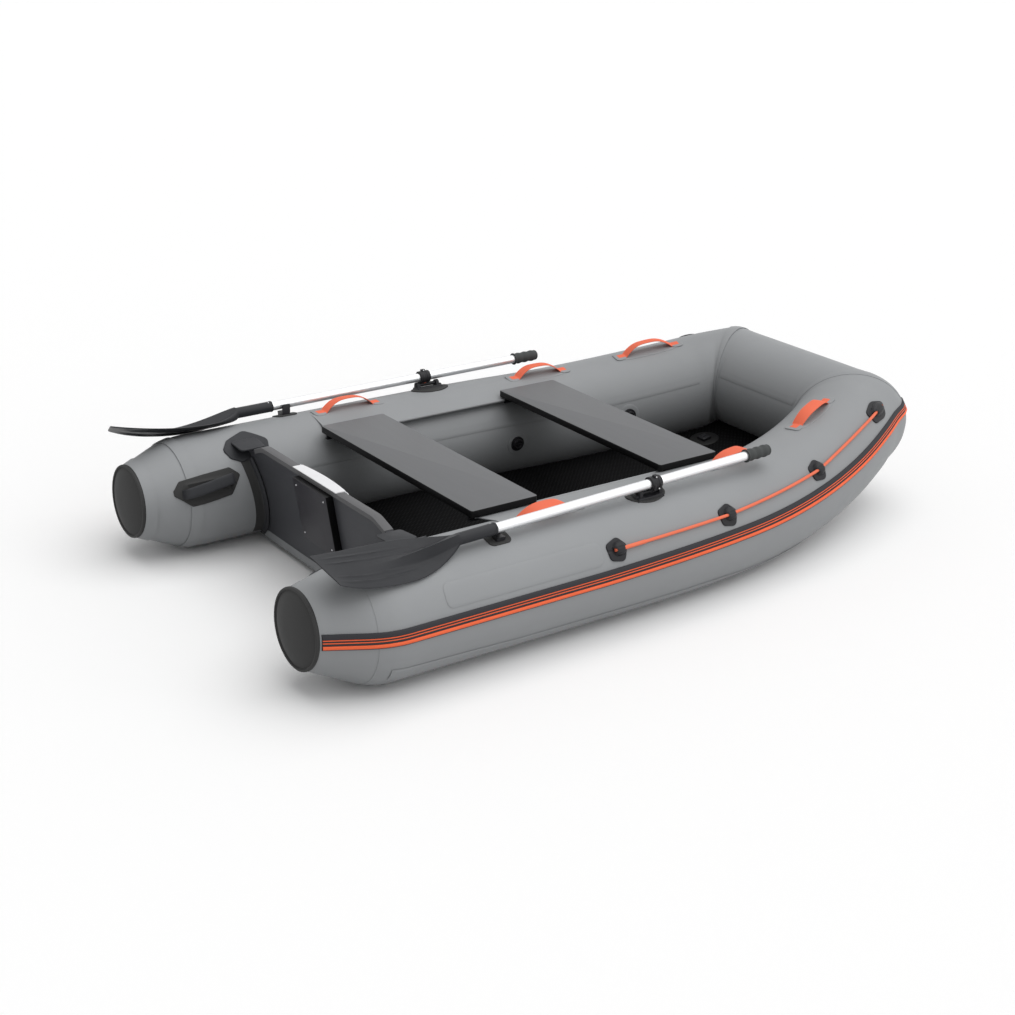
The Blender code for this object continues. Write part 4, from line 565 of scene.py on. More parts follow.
def hull_section(path, side):
    """Section at a path length: the station along the side, and on round the corner to the bow."""
    if path <= LAST_SIDE_STATION:
        centre, out, up, wide, tall = port_section(path)
    else:
        k = 1
        while k < len(CORNER_KEYS) - 3 and path > CORNER_KEYS[k + 1][0]:
            k += 1
        (t0, p0), (t1, p1), (t2, p2), (t3, p3) = CORNER_KEYS[k - 1:k + 3]
        s = (path - t1) / (t2 - t1)
        values = []
        for a, b, c, d in zip(p0, p1, p2, p3):
            start = (c - a) / (t2 - t0) * (t2 - t1)
            end = (d - b) / (t3 - t1) * (t2 - t1)
            bend = (2 * s ** 3 - 3 * s ** 2 + 1) * b + (s ** 3 - 2 * s ** 2 + s) * start
            values.append(bend + (3 * s ** 2 - 2 * s ** 3) * c + (s ** 3 - s ** 2) * end)
        centre, out, up = Vector(values[0:3]), Vector(values[3:6]), Vector(values[6:9])
        out.normalize()
        up.normalize()
        wide, tall = values[9:11]
    mirror = Vector((1, side, 1))
    return centre * mirror, out * mirror, up * mirror, wide, tall


def skin(path, angle, height, side):
    """Point over the hull's skin at a path length, a girth angle in degrees and a height."""
    centre, out, up, wide, tall = hull_section(path, side)
    turn = radians(angle)
    return centre + out * ((wide + height) * cos(turn)) + up * ((tall + height) * sin(turn))


def between(points, at):
    """Value at a place on a line through (place, value) points."""
    if at <= points[0][0]:
        return points[0][1]
    for (p0, v0), (p1, v1) in zip(points, points[1:]):
        if at <= p1:
            return v0 + (v1 - v0) * (at - p0) / (p1 - p0)
    return points[-1][1]


def round_hull(distance, angle, height):
    """The skin at a distance from the port stern, round the bow to the starboard stern."""
    if distance <= BOW_PATH:
        return skin(distance, angle, height, 1)
    return skin(2 * BOW_PATH - distance, angle, height, -1)


def frame_from(along, normal, origin):
    """Matrix with its X axis along and its Z axis on the normal."""
    matrix = Matrix((along, normal.cross(along), normal)).transposed().to_4x4()
    matrix.translation = origin
    return matrix


def skin_frame(station, angle, side):
    """Matrix on the skin: X forward along the tube, Z straight out of it."""
    place = skin(station, angle, 0.0, side)
    normal = (skin(station, angle, 0.01, side) - place).normalized()
    along = skin(station + 0.001, angle, 0.0, side) - skin(station - 0.001, angle, 0.0, side)
    along = (along - normal * along.dot(normal)).normalized()
    return frame_from(along, normal, place)


# Mesh makers


def add_object(name, content):
    item = bpy.data.objects.new(name, content)
    bpy.context.scene.collection.objects.link(item)
    return item


def mesh_from(data, name):
    """A mesh with the mesh data, which is let go."""
    mesh = bpy.data.meshes.new(name)
    data.to_mesh(mesh)
    data.free()
    return mesh


def finish_piece(data, name, finish, body="hull", stands_for=None, sharp=38):
    """Make a piece of the mesh data, in place, hang it on its body, and hide the part that it
    stands for.
    """
    bmesh.ops.recalc_face_normals(data, faces=data.faces)
    mesh = mesh_from(data, name)
    mesh.shade_smooth()
    mesh.set_sharp_from_angle(angle=radians(sharp))
    item = add_object(name, mesh)
    finishes = (finish,) if isinstance(finish, str) else finish
    for one in finishes:
        mesh.materials.append(material(one))
    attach(item, body)
    if stands_for:
        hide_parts(stands_for)
    return item


def bent_grid(columns, rows, place, wrap=False, closed=False, paint=None, fabric=(1, 1), solid=0):
    """A grid bent so that place(u, v) gives each point; its UV map is in metres.

    wrap joins the edges at v 0 and 1 into a tube, closed gives that tube flat ends, and solid
    gives a sheet its thickness."""
    data = bmesh.new()
    bmesh.ops.create_grid(data, x_segments=columns, y_segments=rows, size=0.5)
    layer = data.loops.layers.uv.new("UVMap")
    for face in data.faces:
        middle = face.calc_center_median()
        if paint:
            face.material_index = paint(middle.x + 0.5, middle.y + 0.5)
        for loop in face.loops:
            co = loop.vert.co
            loop[layer].uv = ((co.x + 0.5) * fabric[0], (co.y + 0.5) * fabric[1])
    for vert in data.verts:
        vert.co = place(vert.co.x + 0.5, vert.co.y + 0.5)
    if wrap:
        bmesh.ops.remove_doubles(data, verts=data.verts, dist=1e-6)
    if closed:
        rim = [edge for edge in data.edges if edge.is_boundary]
        bmesh.ops.holes_fill(data, edges=rim, sides=0)
    if solid:
        bmesh.ops.solidify(data, geom=data.faces[:], thickness=solid)
    return data


def swept(columns, outline, point, paint=None, fabric=(1, 1)):
    """A closed tube with the outline as its section; point(u, corner) places each corner."""
    rows = len(outline)

    def place(u, v):
        return point(u, outline[round(v * rows) % rows])
    return bent_grid(columns, rows, place, True, True, paint, fabric)


def turned(profile, matrix, steps=48):
    """Spin a profile of (radius, height) points round the matrix's Z axis."""
    data = bmesh.new()
    verts = [data.verts.new((radius, 0, height)) for radius, height in profile]
    edges = [data.edges.new(pair) for pair in zip(verts, verts[1:])]
    bmesh.ops.spin(
        data, geom=verts + edges, cent=(0, 0, 0), axis=(0, 0, 1), angle=2 * pi,
        steps=steps, use_merge=True,
    )
    bmesh.ops.remove_doubles(data, verts=data.verts, dist=1e-7)
    bmesh.ops.transform(data, matrix=matrix, verts=data.verts)
    return data


def block(size, centre, matrix=None, bevel=0.001, segments=2, taper=0.0):
    """A block with rounded edges; taper draws its top in on all sides."""
    data = bmesh.new()
    bmesh.ops.create_cube(data, size=1.0)
    bmesh.ops.scale(data, vec=size, verts=data.verts)
    for vert in data.verts:
        if vert.co.z > 0:
            vert.co.x -= taper * (1 if vert.co.x > 0 else -1)
            vert.co.y -= 0.6 * taper * (1 if vert.co.y > 0 else -1)
    bmesh.ops.bevel(
        data, geom=data.edges[:], offset=bevel, segments=segments, affect="EDGES", profile=0.5,
        material=-1,
    )
    bmesh.ops.translate(data, vec=centre, verts=data.verts)
    if matrix:
        bmesh.ops.transform(data, matrix=matrix, verts=data.verts)
    return data


def slab(outline, start, end, bevel=0.0, segments=2, matrix=None):
    """A plate from an outline of (x, y) points between two heights, with its rims rounded."""
    data = bmesh.new()
    low = data.faces.new([data.verts.new((x, y, start)) for x, y in outline])
    made = bmesh.ops.extrude_face_region(data, geom=[low], use_keep_orig=True)["geom"]
    top = [item for item in made if isinstance(item, bmesh.types.BMFace)][0]
    bmesh.ops.translate(data, vec=(0, 0, end - start), verts=top.verts)
    if bevel:
        bmesh.ops.bevel(
            data, geom=low.edges[:] + top.edges[:], offset=bevel, segments=segments,
            affect="EDGES", profile=0.5, material=-1,
        )
    if matrix:
        bmesh.ops.transform(data, matrix=matrix, verts=data.verts)
    return data


def joined(*parts):
    """One mesh from several that are already in place."""
    data = parts[0]
    for extra in parts[1:]:
        mesh = mesh_from(extra, "joining")
        data.from_mesh(mesh)
        bpy.data.meshes.remove(mesh)
    return data


def oval(half_length, half_width, power, count):
    """Outline of a superellipse."""
    points = []
    for i in range(count):
        c, s = cos(2 * pi * (i + 0.5) / count), sin(2 * pi * (i + 0.5) / count)
        u = half_length * abs(c) ** (2 / power) * (1 if c > 0 else -1)
        v = half_width * abs(s) ** (2 / power) * (1 if s > 0 else -1)
        points.append((u, v))
    return points


def rounded(corners, radius, steps=5):
    """Outline with an arc in place of each corner."""
    points = []
    for i, corner in enumerate(corners):
        here = Vector(corner)
        back = (Vector(corners[i - 1]) - here).normalized()
        ahead = (Vector(corners[(i + 1) % len(corners)]) - here).normalized()
        half = 0.5 * back.angle(ahead)
        centre = here + (back + ahead).normalized() * (radius / sin(half))
        start = here + back * (radius / tan(half)) - centre
        end = here + ahead * (radius / tan(half)) - centre
        first = atan2(start.y, start.x)
        turn = (atan2(end.y, end.x) - first + pi) % (2 * pi) - pi
        for k in range(steps + 1):
            angle = first + turn * k / steps
            points.append((centre.x + radius * cos(angle), centre.y + radius * sin(angle)))
    return points


def rim_steps(height, radius, steps=3):
    """Insets and heights that round a pad's rim over to its flat top."""
    made = [(0.0, height - radius)]
    for k in range(1, steps + 1):
        turn = 0.5 * pi * k / steps
        made.append((radius * (1 - cos(turn)), height - radius + radius * sin(turn)))
    return made


def pad(outline, steps, spacing, lift=None, low=-SINK):
    """A pad from its outline, stepped in by (inset, height) and cut so that it can bend."""
    data = bmesh.new()
    base = data.faces.new([data.verts.new((u, v, low)) for u, v in outline])
    made = bmesh.ops.extrude_face_region(data, geom=[base], use_keep_orig=True)["geom"]
    top = [item for item in made if isinstance(item, bmesh.types.BMFace)][0]
    level, inset = low, 0.0
    for reach, height in steps:
        if reach > inset:
            bmesh.ops.inset_individual(
                data, faces=[top], thickness=reach - inset, depth=0, use_even_offset=True
            )
            inset = reach
        bmesh.ops.translate(data, vec=(0, 0, height - level), verts=top.verts)
        level = height
    for axis in (0, 1):
        low_edge = min(p[axis] for p in outline)
        span = max(p[axis] for p in outline) - low_edge
        count = max(1, ceil(span / spacing))
        for i in range(1, count):
            place, normal = [0.0, 0.0, 0.0], [0.0, 0.0, 0.0]
            place[axis], normal[axis] = low_edge + span * i / count, 1.0
            geom = data.verts[:] + data.edges[:] + data.faces[:]
            bmesh.ops.bisect_plane(data, geom=geom, plane_co=place, plane_no=normal, dist=1e-7)
    if lift:
        for vert in data.verts:
            if vert.co.z > low + 1e-6:
                vert.co.z += lift(vert.co.x, vert.co.y)
    layer = data.loops.layers.uv.new("UVMap")
    for face in data.faces:
        for loop in face.loops:
            loop[layer].uv = loop.vert.co.xy
    return data


def tube_pad(name, finish, outline, rim, spacing, spot, side, lift=None, low=-SINK, **settings):
    """A pad bent round a side tube about a spot; rim is its height and the rim's radius."""
    data = pad(outline, rim_steps(*rim), spacing, lift, low)
    station, angle = spot
    for vert in data.verts:
        u, v, w = vert.co
        vert.co = skin(station + u, angle + degrees(v / TUBE_RADIUS), w, side)
    return finish_piece(data, name, finish, **settings)


def smooth_path(points, part):
    """Point on a smooth curve through (u, height) points, for a part from 0 to 1 of their count."""
    t = part * (len(points) - 1)
    k = min(int(t), len(points) - 2)
    s = t - k
    p0, p1 = points[max(0, k - 1)], points[k]
    p2, p3 = points[k + 1], points[min(len(points) - 1, k + 2)]
    made = []
    for a, b, c, d in zip(p0, p1, p2, p3):
        made.append(0.5 * (2 * b + (c - a) * s + (2 * a - 5 * b + 4 * c - d) * s ** 2
                           + (3 * b - a - 3 * c + d) * s ** 3))
    return made


def cut(item, tool_data):
    """Take the tool's shape out of the piece."""
    bmesh.ops.recalc_face_normals(tool_data, faces=tool_data.faces)
    tool = add_object("cutter", mesh_from(tool_data, "cutter"))
    modifier = item.modifiers.new("cut", "BOOLEAN")
    modifier.operation = "DIFFERENCE"
    modifier.solver = "EXACT"
    modifier.object = tool
    graph = bpy.context.evaluated_depsgraph_get()
    graph.update()
    made = bpy.data.meshes.new_from_object(item.evaluated_get(graph))
    item.modifiers.clear()
    item.data = made
    bpy.data.objects.remove(tool)
    made.set_sharp_from_angle(angle=radians(38))


def axis_frame(start, end):
    """Matrix at the start with its Z axis towards the end."""
    matrix = (end - start).to_track_quat("Z", "Y").to_matrix().to_4x4()
    matrix.translation = start
    return matrix


def screw(matrix, radius, name, body="hull"):
    """Pan head screw with a slot, standing on the matrix's XY plane."""
    profile = (
        (0, -1), (1, -1), (1, 0.15), (0.93, 0.40), (0.7, 0.58), (0.3, 0.66), (0, 0.67),
    )
    data = turned([(radius * across, radius * up) for across, up in profile], matrix, 20)
    item = finish_piece(data, name, "steel", body)
    slot = (1.1 * radius, 0.22 * radius, radius)
    cut(item, block(slot, (0, 0, 0.9 * radius), matrix, 0.04 * radius, 1))


# Pieces of the hull


class BOAT_OT_air_chambers(bpy.types.Operator):
    """Fabric skins of the three air chambers, and the tapes over their seams"""

    bl_idname = "boat.air_chambers"
    bl_label = "Air chambers"

    def execute(self, context):
        girth = 2 * pi * TUBE_RADIUS
        for name, side in SIDES:
            def side_place(u, v, side=side):
                return skin(BAFFLE_STATION * u, 360 * v, 0.0, side)
            data = bent_grid(116, 96, side_place, True, True, fabric=(BAFFLE_STATION, girth))
            finish_piece(data, name + "_tube_fabric", "coated_fabric", stands_for=name + "_tube")
        bow_length = 2 * (BOW_PATH - BAFFLE_STATION)

        def bow_place(u, v):
            return round_hull(BAFFLE_STATION + bow_length * u, 360 * v, 0.0)
        data = bent_grid(164, 96, bow_place, True, True, fabric=(bow_length, girth))
        finish_piece(data, "bow_tube_fabric", "coated_fabric", stands_for="bow_tube")
        for name, side in SIDES:
            self.seams(name, side)
        start = LAST_SIDE_STATION + 0.24
        self.tape("bow_inner_seam", 0, (start, 2 * BOW_PATH - start), BOW_SEAM, 40)
        return {"FINISHED"}

    def tape(self, name, side, path, angles, columns, lean=0.0):
        """A tape on the skin between two paths, from a first girth angle on and so many wide.

        The first angle may be a list of (path, angle) to run through. lean bows the tape round
        a mitre, and with side 0 the paths run round the whole hull."""
        height = sizes().tape_height
        first, wide = angles

        def place(u, v):
            distance = path[0] + (path[1] - path[0]) * u
            angle = (between(first, distance) if isinstance(first, tuple) else first) + wide * v
            distance += lean * cos(radians(angle))
            if side:
                return skin(distance, angle, height, side)
            return round_hull(distance, angle, height)
        rows = max(2, ceil(wide / 4))
        fabric = (path[1] - path[0], TUBE_RADIUS * radians(wide))
        data = bent_grid(columns, rows, place, wide >= 360, fabric=fabric, solid=2 * height)
        finish_piece(data, name, "coated_fabric", sharp=50)

    def seams(self, name, side):
        width, height = sizes().tape_width, sizes().tape_height
        last = LAST_SIDE_STATION
        mitre = (MITRE_PATH - 0.020, MITRE_PATH + 0.020)
        self.tape(name + "_cap_band", side, (0.0015, width), (0, 360), 4)
        self.tape(name + "_cone_belt", side, (0.145, 0.145 + width), (0, 360), 6)
        self.tape(name + "_inner_seam", side, (0.45, last - 0.02), INNER_SEAM, 90)
        self.tape(name + "_keel_seam", side, (0.19, last), KEEL_SEAM, 90)
        corners = ((-0.280, -0.038), (0.287, -0.038), (0.287, 0.038), (-0.280, 0.038))
        tube_pad(name + "_side_patch", "coated_fabric", rounded(corners, 0.022),
                 (height, 0.0005, 2), 0.012, SIDE_PATCH, side)
        self.tape(name + "_mitre_tape", side, mitre, (0, 360), 6, 0.010)


class BOAT_OT_stern_caps(bpy.types.Operator):
    """Moulded discs that close the stern cones"""

    bl_idname = "boat.stern_caps"
    bl_label = "Stern caps"

    def execute(self, context):
        profile = [
            (0.0, -0.002), (0.1200, -0.002), (0.1222, 0.0015), (0.1222, 0.0065), (0.1214, 0.0088),
            (0.1195, 0.0100), (0.1168, 0.0104), (0.1148, 0.0096), (0.1136, 0.0074),
            (0.1126, 0.0060), (0.1112, 0.0058),
        ]
        for k in range(16):
            radius = 0.110 * (1 - k / 15)
            profile.append((radius, 0.0055 + 0.0195 * (1 - (radius / 0.112) ** 2.6)))
        for name, side in SIDES:
            centre, out, up, _, _ = hull_section(0.0, side)
            aft = out.cross(up)
            if aft.x > 0:
                aft.negate()
            data = turned(profile, frame_from(out, aft, centre), 96)
            title = name + "_stern_cap"
            finish_piece(data, title + "_disc", "moulded_rubber", stands_for=title)
        return {"FINISHED"}


def strake_angle(path):
    part = clamp((path - BEND_STATION) / (MITRE_STATION - BEND_STATION))
    return degrees(0.131 + 0.239 * part ** 1.25)


# Section of the strake from its top edge down: share of its height, height over the tube, orange
STRAKE_PROFILE = (
    (0.0, -0.003, 0), (0.0, 0.0030, 0), (0.015, 0.0046, 0), (0.05, 0.0058, 0),
    (0.14, 0.0064, 0), (0.26, 0.0066, 0), (0.318, 0.0064, 0), (0.330, 0.0052, 1),
    (0.342, 0.0066, 1), (0.388, 0.0066, 1), (0.400, 0.0052, 0), (0.412, 0.0062, 0),
    (0.450, 0.0062, 0), (0.482, 0.0062, 0), (0.494, 0.0052, 1), (0.506, 0.0067, 1),
    (0.552, 0.0067, 1), (0.564, 0.0052, 0), (0.580, 0.0064, 0), (0.640, 0.0066, 0),
    (0.685, 0.0064, 0), (0.700, 0.0052, 1), (0.718, 0.0072, 1), (0.755, 0.0083, 1),
    (0.820, 0.0086, 1), (0.885, 0.0082, 1), (0.918, 0.0070, 1), (0.932, 0.0052, 0),
    (0.950, 0.0060, 0), (0.985, 0.0044, 0), (1.0, 0.0030, 0), (1.0, -0.003, 0),
    (0.5, -0.003, 0),
)


class BOAT_OT_rub_strake(bpy.types.Operator):
    """Ribbed rubber strake with three orange lines, round the whole boat"""

    bl_idname = "boat.rub_strake"
    bl_label = "Rub strake"

    def execute(self, context):
        start, height = 0.006, 0.047
        whole = 2 * (BOW_PATH - start)

        def point(u, corner):
            share, over, _ = corner
            distance = start + whole * u
            path = min(distance, 2 * BOW_PATH - distance)
            centre, _, _, radius, _ = hull_section(path, 1)
            middle = strake_angle(path)
            if path < CONE_STATION * (1 + CONE_EASE):
                level = TUBE_RADIUS * (1 + sin(radians(middle)))
                middle = degrees(asin((level - centre.z) / radius))
            angle = middle + degrees((0.5 - share) * height / radius)
            return round_hull(distance, angle, over)

        def paint(u, v):
            return STRAKE_PROFILE[int(v * len(STRAKE_PROFILE))][2]
        data = swept(300, STRAKE_PROFILE, point, paint, (whole, 0.13))
        finish = ("strake_rubber", "strake_line")
        finish_piece(data, "strake_strip", finish, stands_for="rub_strake", sharp=60)
        return {"FINISHED"}


def inner_reach(station, z, gap):
    """Point on the port tube's inner side, at a height over the ground and a gap off the skin."""
    centre, out, up, wide, _ = hull_section(station, 1)
    angle = pi + asin(min(1.0, (centre.z - z) / (wide + gap)))
    return centre + out * ((wide + gap) * cos(angle)) + up * ((wide + gap) * sin(angle))


def floor_level(station, stern_z, drop):
    level = side_axis_z(station) - drop
    if station >= RAMP_STATION:
        return level
    foot = side_axis_z(RAMP_STATION) - drop
    return stern_z + (foot - stern_z) * (station - TRANSOM_FOOT) / (RAMP_STATION - TRANSOM_FOOT)


def raked(data):
    """Lean a piece that was made upright, so that its foot stands forward like the transom's."""
    for vert in data.verts:
        vert.co.x += TRANSOM_SLOPE * (TRANSOM_TOP - vert.co.z)
    return data


def deck_level(station):
    return floor_level(station, SHEET_STERN_Z + SHEET_THICKNESS + DECK_THICKNESS, DECK_DROP)


class BOAT_OT_floor(bpy.types.Operator):
    """Hull bottom, inflatable deck with its tread, and the deck's valve"""

    bl_idname = "boat.floor"
    bl_label = "Bottom and deck"

    def execute(self, context):
        self.bottom()
        self.deck()
        self.deck_valve()
        return {"FINISHED"}

    def bottom(self):
        aft = TRANSOM_FOOT - 0.003
        front = MITRE_STATION - 0.09

        def place(u, v):
            station = aft + (front - aft) * u
            side_station = min(station, LAST_SIDE_STATION)
            z = floor_level(max(side_station, TRANSOM_FOOT), SHEET_STERN_Z, SHEET_DROP)
            if station > LAST_SIDE_STATION:
                z += 0.009 * (station - LAST_SIDE_STATION) / (front - LAST_SIDE_STATION)
            half = inner_reach(side_station, z, -0.012).y
            if station > LAST_SIDE_STATION:
                half -= 0.45 * (station - LAST_SIDE_STATION)
            return Vector((station - ORIGIN, half * (1 - 2 * v), z))
        data = bent_grid(60, 24, place, fabric=(front - aft, 0.9), solid=SHEET_THICKNESS)
        finish_piece(data, "bottom_fabric", "coated_fabric", stands_for="hull_bottom")
        low, high = SHEET_STERN_Z - SHEET_THICKNESS, SHEET_STERN_Z + 0.028
        reach = TUBE_RADIUS + 0.016

        def flap(u, v):
            z = low + (high - low) * v
            half = SIDE_AXIS_Y - reach * cos(asin((TUBE_RADIUS - z) / reach)) - 0.0008
            x = TRANSOM_AFT - GAP - 0.0028 - ORIGIN + 0.0015 * v ** 4
            return Vector((x, half * (1 - 2 * u), z))
        data = bent_grid(40, 8, flap, fabric=(0.8, high - low), solid=0.0022)
        finish_piece(raked(data), "bottom_flap_fabric", "coated_fabric")

    def deck(self):
        """A cushion with round sides, pressed into the corners at its nose."""
        start = TRANSOM_FOOT + TRANSOM_THICKNESS + 0.023
        end = MITRE_STATION - 0.086
        half_thick = 0.5 * DECK_THICKNESS

        def place(u, v):
            station = start + (end - start) * u
            top = deck_level(station)
            half = inner_reach(min(station, LAST_SIDE_STATION), top, 0.002).y
            half += 0.035 * max(0.0, 1 - (end - station) / 0.12)
            edge = min(1.0, 0.25 + min(station - start, end - station) / 0.018)
            thick = half_thick * sqrt(1 - (1 - edge) ** 2)
            y, z = self.stadium(2 * pi * v, half - half_thick, half_thick)
            return Vector((station - ORIGIN, y, top - half_thick + z * thick / half_thick))
        data = bent_grid(110, 64, place, True, True, fabric=(end - start, 1.0))
        finish_piece(data, "deck_cushion", "tread_fabric", stands_for="air_deck", sharp=60)

    def stadium(self, turn, flat, radius):
        """Point of a flat section with round sides; the turn goes once round from 0 to 2 pi."""
        quarter = turn / (0.5 * pi)
        if quarter < 1:
            return flat * (1 - 2 * quarter), radius
        if quarter < 2:
            angle = 0.5 * pi + pi * (quarter - 1)
            return -flat + radius * cos(angle), radius * sin(angle)
        if quarter < 3:
            return flat * (-1 + 2 * (quarter - 2)), -radius
        angle = -0.5 * pi + pi * (quarter - 3)
        return flat + radius * cos(angle), radius * sin(angle)

    def deck_valve(self):
        low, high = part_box("deck_valve_patch")
        x, y = 0.5 * (low.x + high.x), 0.5 * (low.y + high.y)
        slope = (deck_level(x + ORIGIN + 0.05) - deck_level(x + ORIGIN - 0.05)) / 0.1
        along = Vector((1, 0, slope)).normalized()
        normal = Vector((-slope, 0, 1)).normalized()
        middle = Vector((x, y, deck_level(x + ORIGIN))) + normal * 0.0008
        matrix = frame_from(along, normal, middle)
        data = turned([
            (0.0, -0.003), (0.056, -0.003), (0.056, 0.0008), (0.0555, 0.0014),
            (0.0545, 0.0016), (0.049, 0.0016), (0.0484, 0.0011), (0.0478, 0.0016),
            (0.026, 0.0018), (0.0, 0.0018),
        ], matrix, 64)
        finish_piece(data, "deck_valve_disc", "disc_fabric", stands_for="deck_valve_patch")
        data = joined(
            block((0.040, 0.040, 0.0095), (0, 0, 0.0078), matrix, 0.003, 3, 0.0015),
            block((0.026, 0.008, 0.003), (0, 0, 0.0135), matrix, 0.001, 2),
        )
        finish_piece(data, "deck_valve_cover", "valve_acetal", "deck_lid", "deck_valve_lid")


# Transom


def shoulder_z(y):
    """Height of the board's top edge, with its two corners eased."""
    flat = SHOULDER_Y - SHOULDER_LENGTH
    ease = 0.014
    over = abs(y) - flat
    if over <= -ease:
        return TRANSOM_TOP
    slope = SHOULDER_DROP / SHOULDER_LENGTH
    if over >= ease:
        return TRANSOM_TOP - slope * over
    return TRANSOM_TOP - slope * (over + ease) ** 2 / (4 * ease)


def board_outline():
    gap = 0.0065
    reach = TUBE_RADIUS + gap
    bottom = SHEET_STERN_Z + GAP
    last = 180 + degrees(asin((TUBE_RADIUS - bottom) / reach))
    flat = SHOULDER_Y - SHOULDER_LENGTH
    half = [(y, shoulder_z(y)) for y in (flat - 0.014, flat, flat + 0.014, SHOULDER_Y)]
    for i in range(25):
        angle = radians(128 + (last - 128) * i / 24)
        half.append((SIDE_AXIS_Y + reach * cos(angle), TUBE_RADIUS + reach * sin(angle)))
    return half + [(-y, z) for y, z in reversed(half)]


def across_boat(x, y=0.0, z=0.0):
    """Matrix that stands an outline of (y, z) points across the boat, its depth forward."""
    return Matrix(((0, 0, 1, x), (1, 0, 0, y), (0, 1, 0, z), (0, 0, 0, 1)))


class BOAT_OT_transom(bpy.types.Operator):
    """Transom board with its edging, motor plates, channels and holders"""

    bl_idname = "boat.transom"
    bl_label = "Transom"

    def execute(self, context):
        matrix = across_boat(TRANSOM_AFT - ORIGIN)
        board = raked(slab(board_outline(), 0, TRANSOM_THICKNESS, 0.0012, 2, matrix))
        finish_piece(board, "transom_panel", "transom_paint", stands_for="transom_board")
        self.trim()
        self.plates()
        for name, side in SIDES:
            self.channel(name, side)
            self.holder(name, side)
        return {"FINISHED"}

    def trim(self):
        """Edging pressed over the top edge: a U with rounded corners."""
        aft, fore = TRANSOM_AFT - ORIGIN - GAP, TRANSOM_AFT + TRANSOM_THICKNESS - ORIGIN + GAP
        wall, drop = 0.003, -0.014
        outline = [
            (aft - wall, drop), (aft - wall, 0.0012), (aft - wall + 0.0007, 0.0025),
            (aft - wall + 0.002, wall + GAP), (fore + wall - 0.002, wall + GAP),
            (fore + wall - 0.0007, 0.0025), (fore + wall, 0.0012), (fore + wall, drop),
            (fore, drop), (fore, GAP), (aft, GAP), (aft, drop),
        ]
        end = SHOULDER_Y - 0.010

        def point(u, corner):
            y = end * (1 - 2 * u)
            return Vector((corner[0], y, shoulder_z(y) + corner[1]))
        data = raked(swept(120, outline, point))
        finish_piece(data, "transom_edging", "edge_trim", stands_for="transom_edge_trim")

    def plates(self):
        """The outer motor plate with its screws, and the inner one folded over the top."""
        aft = TRANSOM_AFT - GAP - ORIGIN
        top, tall, wide, thick = TRANSOM_TOP - 0.015, 0.214, 0.208, 0.026
        data = block((thick, wide, tall), (aft - 0.5 * thick, 0, top - 0.5 * tall), bevel=0.0018)
        for face in data.faces:
            face.material_index = 0 if abs(face.normal.x) > 0.9 else 1
        finish = ("pad_film", "board_edge")
        finish_piece(raked(data), "motor_plate", finish, stands_for="motor_pad")
        places = [(y, z) for z in (-0.0226, -0.1914) for y in (0.0845, -0.0845)]
        for number, (y, z) in enumerate(places, 1):
            x = aft - thick + TRANSOM_SLOPE * (TRANSOM_TOP - top - z)
            matrix = Matrix.Translation((x, y, top + z)) @ Matrix.Rotation(radians(-100), 4, "Y")
            screw(matrix, 0.0032, "motor_plate_screw_" + str(number))
        fore = TRANSOM_AFT + TRANSOM_THICKNESS + 0.0036 - ORIGIN
        half, horn, thick, tall = 0.133, 0.020, 0.003, 0.1316
        crown = TRANSOM_TOP + 0.0036
        wide, low = half + horn, crown - tall
        corners = ((-wide, low), (wide, low), (wide, crown), (-wide, crown))
        data = slab(rounded(corners, 0.010), 0, thick, 0.0008, 2, across_boat(fore))
        aft_edge = TRANSOM_AFT - 0.0035 - ORIGIN
        span = fore + thick - aft_edge

        def fold(u, v):
            """The fold lies over the edging, its forward edge bulging a little at the middle."""
            y = half * (1 - 2 * u)
            bulge = 0.010 * (1 - (y / half) ** 2)
            return Vector((aft_edge + (span + bulge) * v, y, crown + 0.0032 - 0.0012 * v ** 3))
        sheet = raked(bent_grid(40, 10, fold, solid=thick))
        finish_piece(raked(data), "inner_plate_sheet", "plate_plastic",
                     stands_for="motor_inner_plate")
        finish_piece(sheet, "inner_plate_fold", "plate_plastic", sharp=60)

    def channel(self, name, side):
        """Two round lips on a flange glued to the tube; the board's end stands between them."""
        aft, fore = -GAP, TRANSOM_THICKNESS + GAP
        lip, tall, base = 0.012, 0.019, 0.004
        outline = [
            (aft - lip - 0.031, -SINK), (aft - lip - 0.031, 0.0008), (aft - lip - 0.028, 0.0016),
            (aft - lip - 0.006, 0.0030), (aft - lip - 0.002, 0.0048), (aft - lip, 0.0075),
            (aft - lip + 0.0008, 0.0125), (aft - 0.0062, 0.0150), (aft - 0.0040, tall),
            (aft - 0.0016, 0.0152), (aft, 0.0130), (aft, base), (fore, base), (fore, 0.0130),
            (fore + 0.0016, 0.0152), (fore + 0.0040, tall), (fore + 0.0062, 0.0150),
            (fore + lip - 0.0008, 0.0125), (fore + lip, 0.0075), (fore + lip + 0.002, 0.0048),
            (fore + lip + 0.006, 0.0030), (fore + lip + 0.012, 0.0010), (fore + lip + 0.012, -SINK),
        ]

        def point(u, corner):
            return skin(TRANSOM_AFT + corner[0], 138 + 91 * u, corner[1], side)

        # The lips are painted a lighter grey than the flange of the same moulding, as a painted
        # highlight
        def paint(u, v):
            return 1 if 4 <= int(v * len(outline)) <= 19 else 0
        data = raked(swept(70, outline, point, paint))
        finish_piece(data, name + "_channel_rubber", ("moulded_rubber", "lip_rubber"),
                     stands_for=name + "_transom_channel", sharp=40)

